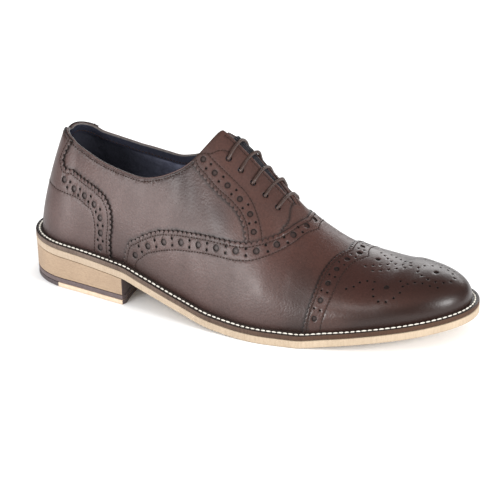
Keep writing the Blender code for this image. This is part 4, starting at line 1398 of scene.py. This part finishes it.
def lace_points():
    radius = LACE / 2
    over = FACING_HIGH + radius - 0.00005
    under = -(SKIN_DEPTH + WALL + FIT + radius + 0.0001)
    places = []

    def add(side, around, rise, lift):
        places.append(lifted(pattern(side, np.array([around]), np.array([rise])), lift)[0])

    def add_bar(row, first):
        around, rises = EYELETS[row]
        low, high = rises[first], rises[-first]
        add(first, around, low, under * 0.85)
        add(first, around, low, over * 0.5)
        for t, sunk in ((0.06, 0.0), (0.35, 0.0), (0.68, 0.0001)):
            add(first, around, low + (1 - low) * t, over - sunk)
        add(first, around, 1.0, over - 0.0006)
        for t, sunk in ((0.80, 0.0013), (0.60, 0.0013), (0.35, 0.0008), (0.06, 0.0003)):
            add(-first, around, high + (1 - high) * t, over - sunk)
        add(-first, around, high, over * 0.5)
        add(-first, around, high, under * 0.85)

    def add_run(row, side):
        around, rises = EYELETS[row]
        after, later = EYELETS[row + 1]
        for t in (0.15, 0.5, 0.85):
            add(side, around + (after - around) * t, rises[side] + (later[side] - rises[side]) * t, under)

    lane = 0.075
    for row in range(EYELET_ROWS - 1, -1, -1):
        around, rises = EYELETS[row]
        add(LATERAL, around, rises[LATERAL] + lane, under)
    add(LATERAL, EYELETS[0][0], EYELETS[0][1][LATERAL] + lane * 0.3, under)
    first = LATERAL
    for row in range(EYELET_ROWS):
        add_bar(row, first)
        first = -first
        if row < EYELET_ROWS - 1:
            add_run(row, first)
    around, rises = EYELETS[-1]
    add(first, around, rises[first] + lane * 0.3, under)
    add(first, around, rises[first] + lane, under)
    return np.array(places)


lace = tube("waxed_lace", curve_through(lace_points(), 8), LACE / 2, LACE_FINISH, 12)
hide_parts("lace")
PIECES.append(lace)


# Tongue

TONGUE_SEAMS = (-0.0004, 0.0018)


def build_tongue():
    start = around_at(THROAT_BASE - THROAT_LENGTH + 0.0062)
    end = around_at(THROAT_BASE + TONGUE_REACH)
    along, across = 60, 48
    around = np.linspace(start, end, along + 1)
    depth = read(TONGUE_DEPTH, 1, (HEEL_RADIUS + around * BODY) / LENGTH)
    columns = [(LATERAL, j / across) for j in range(across)]
    columns += [(MEDIAL, 1 - j / across) for j in range(across + 1)]
    outer, inner = [], []
    for side, t in columns:
        rise = np.full(along + 1, 1 - TONGUE_WIDTH * (1 - t))
        flat, point = pattern(side, around, rise), last_points(side, around, rise)
        aside = point[:, 1] - ridge_offset(point[:, 0] / LENGTH)
        gap, left = slit_gap(side, point[:, 0], 1)
        rising = np.exp(-(np.abs(aside) / np.maximum(gap - 0.0003, 0.0005)) ** 8)
        rising = rising * smooth_step(left, 0.0, 0.2)
        seams = 0.0003 * sum(np.exp(-((aside - at) / 0.00035) ** 2) for at in TONGUE_SEAMS)
        level = -depth + (depth - 0.0007) * rising - seams * rising
        outer.append(lifted(flat, level))
        inner.append(lifted(flat, level - TONGUE))
    count, width = along + 1, len(columns)
    points = np.vstack(outer + inner)
    faces = []
    size = count * width
    for i in range(width - 1):
        for j in range(along):
            a, b, c, d = i * count + j, i * count + j + 1, (i + 1) * count + j + 1, (i + 1) * count + j
            faces += [(a, b, c, d), (a + size, d + size, c + size, b + size)]
    for j in range(along):
        for i in (0, width - 1):
            a = i * count + j
            faces.append((a, a + 1, a + 1 + size, a + size))
    for i in range(width - 1):
        for j in (0, along):
            a, b = i * count + j, (i + 1) * count + j
            faces.append((a, b, b + size, a + size))
    return joined("tongue_leather", points, faces, TONGUE_FINISH)


tongue = build_tongue()
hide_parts("tongue")
PIECES.append(tongue)


# Sole, welt and heel

TURNS = np.linspace(0, 1, 221)


def sole_layer(name, base, profile, material, first=0.0, last=1.0, hollow=False, columns=12):
    """A layer with the sole's outline. Profile is (reach, height above base) from the bottom's
    rim to the top's; base gives the height at a place along the shoe."""
    turns = first + (last - first) * TURNS
    count = len(profile)
    sides = {}
    for side in SIDES:
        rows = []
        for reach, level in profile:
            x, y = edge_points(side, turns, reach)
            rows.append(np.stack([x, y, np.full_like(x, level)], axis=-1))
        sides[side] = rows
    ring = list(sides[LATERAL])
    top = (sides[LATERAL][-1], sides[MEDIAL][-1])
    low = (sides[LATERAL][0], sides[MEDIAL][0])
    ring += [top[0] + (top[1] - top[0]) * j / columns for j in range(1, columns)]
    ring += sides[MEDIAL][::-1]
    ring += [low[1] + (low[0] - low[1]) * j / columns for j in range(1, columns)]
    ring = np.array(ring)
    if hollow:
        middle = (sides[LATERAL][0][:, 1] + sides[MEDIAL][0][:, 1]) / 2
        half = np.maximum((sides[MEDIAL][0][:, 1] - sides[LATERAL][0][:, 1]) / 2, 0.0001)
        across = np.clip((ring[..., 1] - middle) / half, -1, 1)
        near = np.clip(1 - (BREAST_FROM_BACK - ring[..., 0]) / (BREAST_FROM_BACK / 3), 0, None)
        ring[..., 0] -= BREAST_HOLLOW * (1 - across ** 2) * near
    ring[..., 2] += base(ring[..., 0])
    size, steps = len(ring), len(turns)
    points = ring.reshape(-1, 3) + SHIFT
    faces = grid_faces(size, steps, False)
    for end, open_end in ((0, first > 0), (steps - 1, last < 1)):
        if open_end:
            at = [i * steps + end for i in range(size)]
            lateral, across_top = at[:count], at[count - 1:count + columns]
            medial = at[count + columns - 1:2 * count + columns - 1]
            across_low = (at[2 * count + columns - 2:] + at[:1])[::-1]
            faces += [tuple(lateral), tuple(medial)]
            for j in range(columns):
                faces.append((across_top[j], across_top[j + 1], across_low[j + 1], across_low[j]))
    return joined(name, points, faces, material, 40)


def rounded_edge(reach, height, radius, inset=0.004):
    """A profile from rim to rim of a layer with a rounded edge."""
    profile = [(reach - inset, 0.0)]
    for centre, start in ((radius, -90), (height - radius, 0)):
        for k in range(5):
            angle = math.radians(start + 22.5 * k)
            profile.append((reach - radius + radius * math.cos(angle), centre + radius * math.sin(angle)))
    profile.append((reach - inset, height))
    return profile


outsole = sole_layer("outsole_leather", sole_bottom, rounded_edge(WELT_REACH, OUTSOLE, 0.0007), SOLE_FINISH)
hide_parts("outsole")
sock_edge = rounded_edge(-(SKIN_DEPTH + WALL + 2 * FIT), WELT + FIT + INSOLE_RISE, 0.0004)
insole = sole_layer("sock", welt_bottom, sock_edge, SOCK)
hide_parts("insole")
PIECES += [outsole, insole]


def turn_at(from_back):
    return math.acos(1 - 2 * from_back / LENGTH) / math.pi


breast_turn = turn_at(BREAST_FROM_BACK)
lift_low = TOP_PIECE + FIT
stack_low = lift_low + HEEL_LIFT + FIT


def heel_layer(name, level, height, material, first=0.0, last=breast_turn, hollow=True):
    """A layer of the heel with a flat underside."""
    edge = rounded_edge(HEEL_REACH, height, 0.0004)
    return sole_layer(name, lambda x: np.full_like(x, level), edge, material, first, last, hollow)


def stack_layer(drawn=0.010):
    """The heel's stack: drawn flat, then its upper side fitted to the outsole."""
    piece = heel_layer("stack_leather", stack_low, drawn, STACK_FINISH)
    points = np.array([v.co for v in piece.data.vertices])
    x = points[:, 0] - SHIFT[0]
    share = np.clip((points[:, 2] - stack_low) / drawn, 0, 1)
    points[:, 2] = stack_low + share * (sole_bottom(x) - FIT - stack_low)
    piece.data.vertices.foreach_set("co", points.ravel())
    return piece


stack = stack_layer()
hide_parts("heel_stack")
heel_lift = heel_layer("lift_leather", lift_low, HEEL_LIFT, LIFT_FINISH)
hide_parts("heel_lift")
rubber = heel_layer("rubber_top_piece", 0.0, TOP_PIECE, RUBBER, last=turn_at(RUBBER_FROM_BACK), hollow=False)
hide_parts("top_piece_rubber")
top_piece = heel_layer("leather_top_piece", 0.0, TOP_PIECE, TOP_PIECE_FINISH, turn_at(RUBBER_FROM_BACK + FIT))
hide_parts("top_piece_leather")
PIECES += [stack, heel_lift, rubber, top_piece]


def build_welt():
    inner = -(SKIN_DEPTH + WALL + FIT)
    profile = [
        (inner, 0.0),
        (WELT_REACH - 0.0006, 0.0),
        (WELT_REACH - 0.00018, 0.00018),
        (WELT_REACH, 0.0006),
        (WELT_REACH, WELT - 0.0007),
        (WELT_REACH - 0.0002, WELT - 0.0002),
        (WELT_REACH - 0.0007, WELT),
        (WELT_SEAM + 0.0009, WELT),
        (WELT_SEAM + 0.0004, WELT - 0.0003),
        (WELT_SEAM - 0.0004, WELT - 0.0003),
        (WELT_SEAM - 0.0009, WELT),
        (inner, WELT),
    ]
    sides = [(LATERAL, turn) for turn in TURNS] + [(MEDIAL, turn) for turn in TURNS[-2:0:-1]]
    side = np.array([s for s, _ in sides])
    turn = np.array([t for _, t in sides])
    rows = []
    for reach, level in profile:
        x, y = edge_points(side, turn, reach)
        rows.append(np.stack([x, y, welt_bottom(x) + level], axis=-1))
    points = np.array(rows).reshape(-1, 3) + SHIFT
    return joined("welt_leather", points, grid_faces(len(profile), len(sides)), WELT_FINISH, 40)


def refinish(piece, material, chosen):
    """Gives another finish to the faces that a test on their middle and normal picks."""
    piece.data.materials.append(material)
    index = len(piece.data.materials) - 1
    for face in piece.data.polygons:
        if chosen(face.center, face.normal):
            face.material_index = index


welt = build_welt()
refinish(welt, WELT_EDGE, lambda middle, normal: abs(normal.z) < 0.6)
for layer in (stack, heel_lift, top_piece):
    refinish(layer, LIFT_FINISH, lambda middle, normal: normal.x > 0.75 and middle.x > -0.09)
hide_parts("welt")
PIECES.append(welt)


# Stitches

def stitch_tree(material):
    """Geometry Nodes: a slim pad of thread on every point, turned by the point's attributes."""
    tree = bpy.data.node_groups.new("sewn rows", "GeometryNodeTree")
    tree.interface.new_socket("Geometry", in_out="INPUT", socket_type="NodeSocketGeometry")
    for label, value in (("Stitch Length", 0.002), ("Stitch Width", 0.0006), ("Stitch Height", 0.0004)):
        tree.interface.new_socket(label, in_out="INPUT", socket_type="NodeSocketFloat").default_value = value
    tree.interface.new_socket("Seed", in_out="INPUT", socket_type="NodeSocketInt").default_value = 7
    tree.interface.new_socket("Geometry", in_out="OUTPUT", socket_type="NodeSocketGeometry")
    add = tree.nodes.new
    start, finish = add("NodeGroupInput"), add("NodeGroupOutput")
    ball = add("GeometryNodeMeshUVSphere")
    ball.inputs["Segments"].default_value = 8
    ball.inputs["Rings"].default_value = 6
    ball.inputs["Radius"].default_value = 0.5
    size = add("ShaderNodeCombineXYZ")
    shape = add("GeometryNodeTransform")
    link(tree, start.outputs["Stitch Length"], size.inputs[0])
    link(tree, start.outputs["Stitch Width"], size.inputs[1])
    link(tree, start.outputs["Stitch Height"], size.inputs[2])
    link(tree, ball.outputs[0], shape.inputs["Geometry"])
    link(tree, size.outputs[0], shape.inputs["Scale"])
    turn = add("FunctionNodeAxesToRotation")
    turn.primary_axis, turn.secondary_axis = "Z", "X"
    for label, socket in (("out", turn.inputs[0]), ("along", turn.inputs[1])):
        attribute = add("GeometryNodeInputNamedAttribute")
        attribute.data_type = "FLOAT_VECTOR"
        attribute.inputs["Name"].default_value = label
        link(tree, attribute.outputs[0], socket)
    spread = add("FunctionNodeRandomValue")
    spread.data_type = "FLOAT"
    spread.inputs[2].default_value, spread.inputs[3].default_value = 0.9, 1.08
    link(tree, start.outputs["Seed"], spread.inputs["Seed"])
    place = add("GeometryNodeInstanceOnPoints")
    link(tree, start.outputs["Geometry"], place.inputs["Points"])
    link(tree, shape.outputs[0], place.inputs["Instance"])
    link(tree, turn.outputs[0], place.inputs["Rotation"])
    link(tree, spread.outputs[1], place.inputs["Scale"])
    real = add("GeometryNodeRealizeInstances")
    smooth = add("GeometryNodeSetShadeSmooth")
    dressed = add("GeometryNodeSetMaterial")
    dressed.inputs["Material"].default_value = material
    link(tree, place.outputs[0], real.inputs[0])
    link(tree, real.outputs[0], smooth.inputs[0])
    link(tree, smooth.outputs[0], dressed.inputs["Geometry"])
    link(tree, dressed.outputs[0], finish.inputs[0])
    return tree


def sewn(name, rows, stitch, material, seed=7):
    """Stitches on rows of (points, directions, normals), made a plain mesh."""
    points, along, out = (np.vstack([row[k] for row in rows]) for k in range(3))
    mesh = bpy.data.meshes.new(name + "_points")
    mesh.from_pydata([tuple(p) for p in points], [], [])
    for label, vectors in (("along", along), ("out", out)):
        column = mesh.attributes.new(label, "FLOAT_VECTOR", "POINT")
        column.data.foreach_set("vector", vectors.astype(np.float32).ravel())
    source = placed(name + "_points", mesh)
    modifier = source.modifiers.new("stitches", "NODES")
    tree = stitch_tree(material)
    modifier.node_group = tree
    sizes = dict(zip(("Stitch Length", "Stitch Width", "Stitch Height"), stitch), Seed=seed)
    for item in tree.interface.items_tree:
        if item.item_type == "SOCKET" and item.in_out == "INPUT" and item.name in sizes:
            modifier[item.identifier] = sizes[item.name]
    bpy.context.view_layer.update()
    evaluated = source.evaluated_get(bpy.context.evaluated_depsgraph_get())
    plain = bpy.data.meshes.new_from_object(evaluated)
    plain.name = name
    piece = placed(name, plain)
    bpy.data.objects.remove(source, do_unlink=True)
    return piece


def row_on_leather(flat, pitch, lift, start=0.0, end=0.0):
    even = spaced(flat, pitch, start, end)
    point, _, _, normal = frames(even)
    return point + normal * (lift + relief(even))[:, None] + SHIFT, directions(point), normal


def clipped(flat, inside=None, outside=()):
    """A line's part outside the opening, within one outline and outside others."""
    dense = spaced(flat, 0.0004)
    keep = ~in_loop(dense, OPENING)
    if inside is not None:
        keep &= in_loop(dense, inside)
    for loop in outside:
        keep &= ~in_loop(dense, loop)
    return dense[keep]


leather_rows = []
for rows, high, outline, covers in (
    (vamp_rows, OVER_HIGH, vamp_outline, []),
    (cap_rows, CAP_HIGH, cap_outline, []),
    (counter_rows, OVER_HIGH, counter_outline, []),
    (facing_rows[LATERAL], FACING_TOP[LATERAL], facing_outlines[LATERAL], [vamp_outline]),
    (facing_rows[MEDIAL], FACING_TOP[MEDIAL], facing_outlines[MEDIAL], [vamp_outline]),
):
    for row in rows:
        shown = clipped(row, outline, covers)
        leather_rows.append(row_on_leather(shown, STITCH_PITCH, high - 0.00006))
covers = [counter_outline] + list(facing_outlines.values())
for row in collar_rows.values():
    leather_rows.append(row_on_leather(clipped(row, None, covers), STITCH_PITCH, SKIN_HIGH + CLEAR))
for row in tape_rows:
    points, along, out = row_on_leather(row, TAPE_PITCH, INSIDE - 0.00062)
    leather_rows.append((points, along, -out))
brown_stitches = sewn("brown_stitches", leather_rows, BROWN_STITCH, THREAD)
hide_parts("upper")

welt_rows = []
for side in SIDES:
    dense = np.linspace(0, 1, 3000)
    x, y = edge_points(side, dense, WELT_SEAM)
    path = np.stack([x, y, welt_bottom(x) + WELT - 0.0001], axis=-1)
    at = travelled(path)
    count = int(round(at[-1] / WELT_PITCH))
    places = (np.arange(count) + 0.5) * at[-1] / count
    even = np.stack([np.interp(places, at, path[:, k]) for k in range(3)], axis=-1)
    along = directions(even)
    up = np.cross(along, np.cross([0.0, 0.0, 1.0], along))
    welt_rows.append((even + SHIFT, along, up))
welt_stitches = sewn("welt_stitches", welt_rows, WHITE_STITCH, WHITE_THREAD, 11)
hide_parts("welt")
PIECES += [brown_stitches, welt_stitches]

for piece in PIECES:
    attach(piece, "root")


# Floor, light and camera

def build_studio():
    mesh = bpy.data.meshes.new("floor")
    reach = 6.0
    mesh.from_pydata([(-reach, -reach, -0.0002), (reach, -reach, -0.0002), (reach, reach, -0.0002),
                      (-reach, reach, -0.0002)], [], [(0, 1, 2, 3)])
    floor = placed("floor", mesh)
    finish = bpy.data.materials.new("pale floor")
    finish.use_nodes = True
    shader = finish.node_tree.nodes["Principled BSDF"]
    shader.inputs["Base Color"].default_value = (0.95, 0.95, 0.95, 1.0)
    shader.inputs["Roughness"].default_value = 0.9
    shader.inputs["Specular IOR Level"].default_value = 0.1
    mesh.materials.append(finish)

    world = bpy.data.worlds.new("studio")
    bpy.context.scene.world = world
    world.use_nodes = True
    tree = world.node_tree
    room = tree.nodes["Background"]
    room.inputs["Color"].default_value = (1.0, 1.0, 1.0, 1.0)
    room.inputs["Strength"].default_value = 0.95
    dim = tree.nodes.new("ShaderNodeBackground")
    dim.inputs["Strength"].default_value = 0.12
    path = tree.nodes.new("ShaderNodeLightPath")
    either = tree.nodes.new("ShaderNodeMixShader")
    link(tree, path.outputs["Is Glossy Ray"], either.inputs[0])
    link(tree, room.outputs[0], either.inputs[1])
    link(tree, dim.outputs[0], either.inputs[2])
    link(tree, either.outputs[0], tree.nodes["World Output"].inputs["Surface"])

    for name, bearing, height, distance, width, tall, power in (
        ("heel softbox", -130, 0, 1.5, 0.65, 0.40, 10.0),
        ("front softbox", -105, 14, 1.5, 0.50, 0.24, 11.0),
        ("high softbox", -92, 42, 1.5, 0.7, 0.4, 3.6),
        ("toe softbox", -9, 20, 1.3, 0.45, 0.40, 15.0),
        ("rear softbox", 100, 18, 1.4, 1.3, 0.45, 6.0),
    ):
        turn, tilt = math.radians(bearing), math.radians(height)
        place = Vector((math.cos(turn) * math.cos(tilt), math.sin(turn) * math.cos(tilt), math.sin(tilt)))
        data = bpy.data.lights.new(name, "AREA")
        data.shape = "ELLIPSE"
        data.size, data.size_y = width, tall
        data.energy = power
        lamp = placed(name, data)
        lamp.location = place * distance + Vector((0.0, 0.0, 0.04))
        lamp.rotation_euler = place.to_track_quat("Z", "Y").to_euler()


def build_camera():
    turn, tilt, roll, distance = 0.52381, 0.40392, -0.03130, 1.2
    target = Vector((0.14968 + SHIFT[0], SHIFT[1], 0.03470))
    back = Vector((math.sin(turn) * math.cos(tilt), -math.cos(turn) * math.cos(tilt), math.sin(tilt)))
    right = Vector((math.cos(turn), math.sin(turn), 0.0))
    up = back.cross(right)
    right, up = (right * math.cos(roll) + up * math.sin(roll), up * math.cos(roll) - right * math.sin(roll))
    place = Matrix((right, up, back)).transposed().to_4x4()
    place.translation = target + back * distance
    data = bpy.data.cameras.new("camera")
    data.sensor_width = 36.0
    data.lens = 138.4
    camera = placed("camera", data)
    camera.matrix_world = place
    bpy.context.scene.camera = camera


build_studio()
build_camera()
bpy.context.scene.view_settings.view_transform = "Standard"
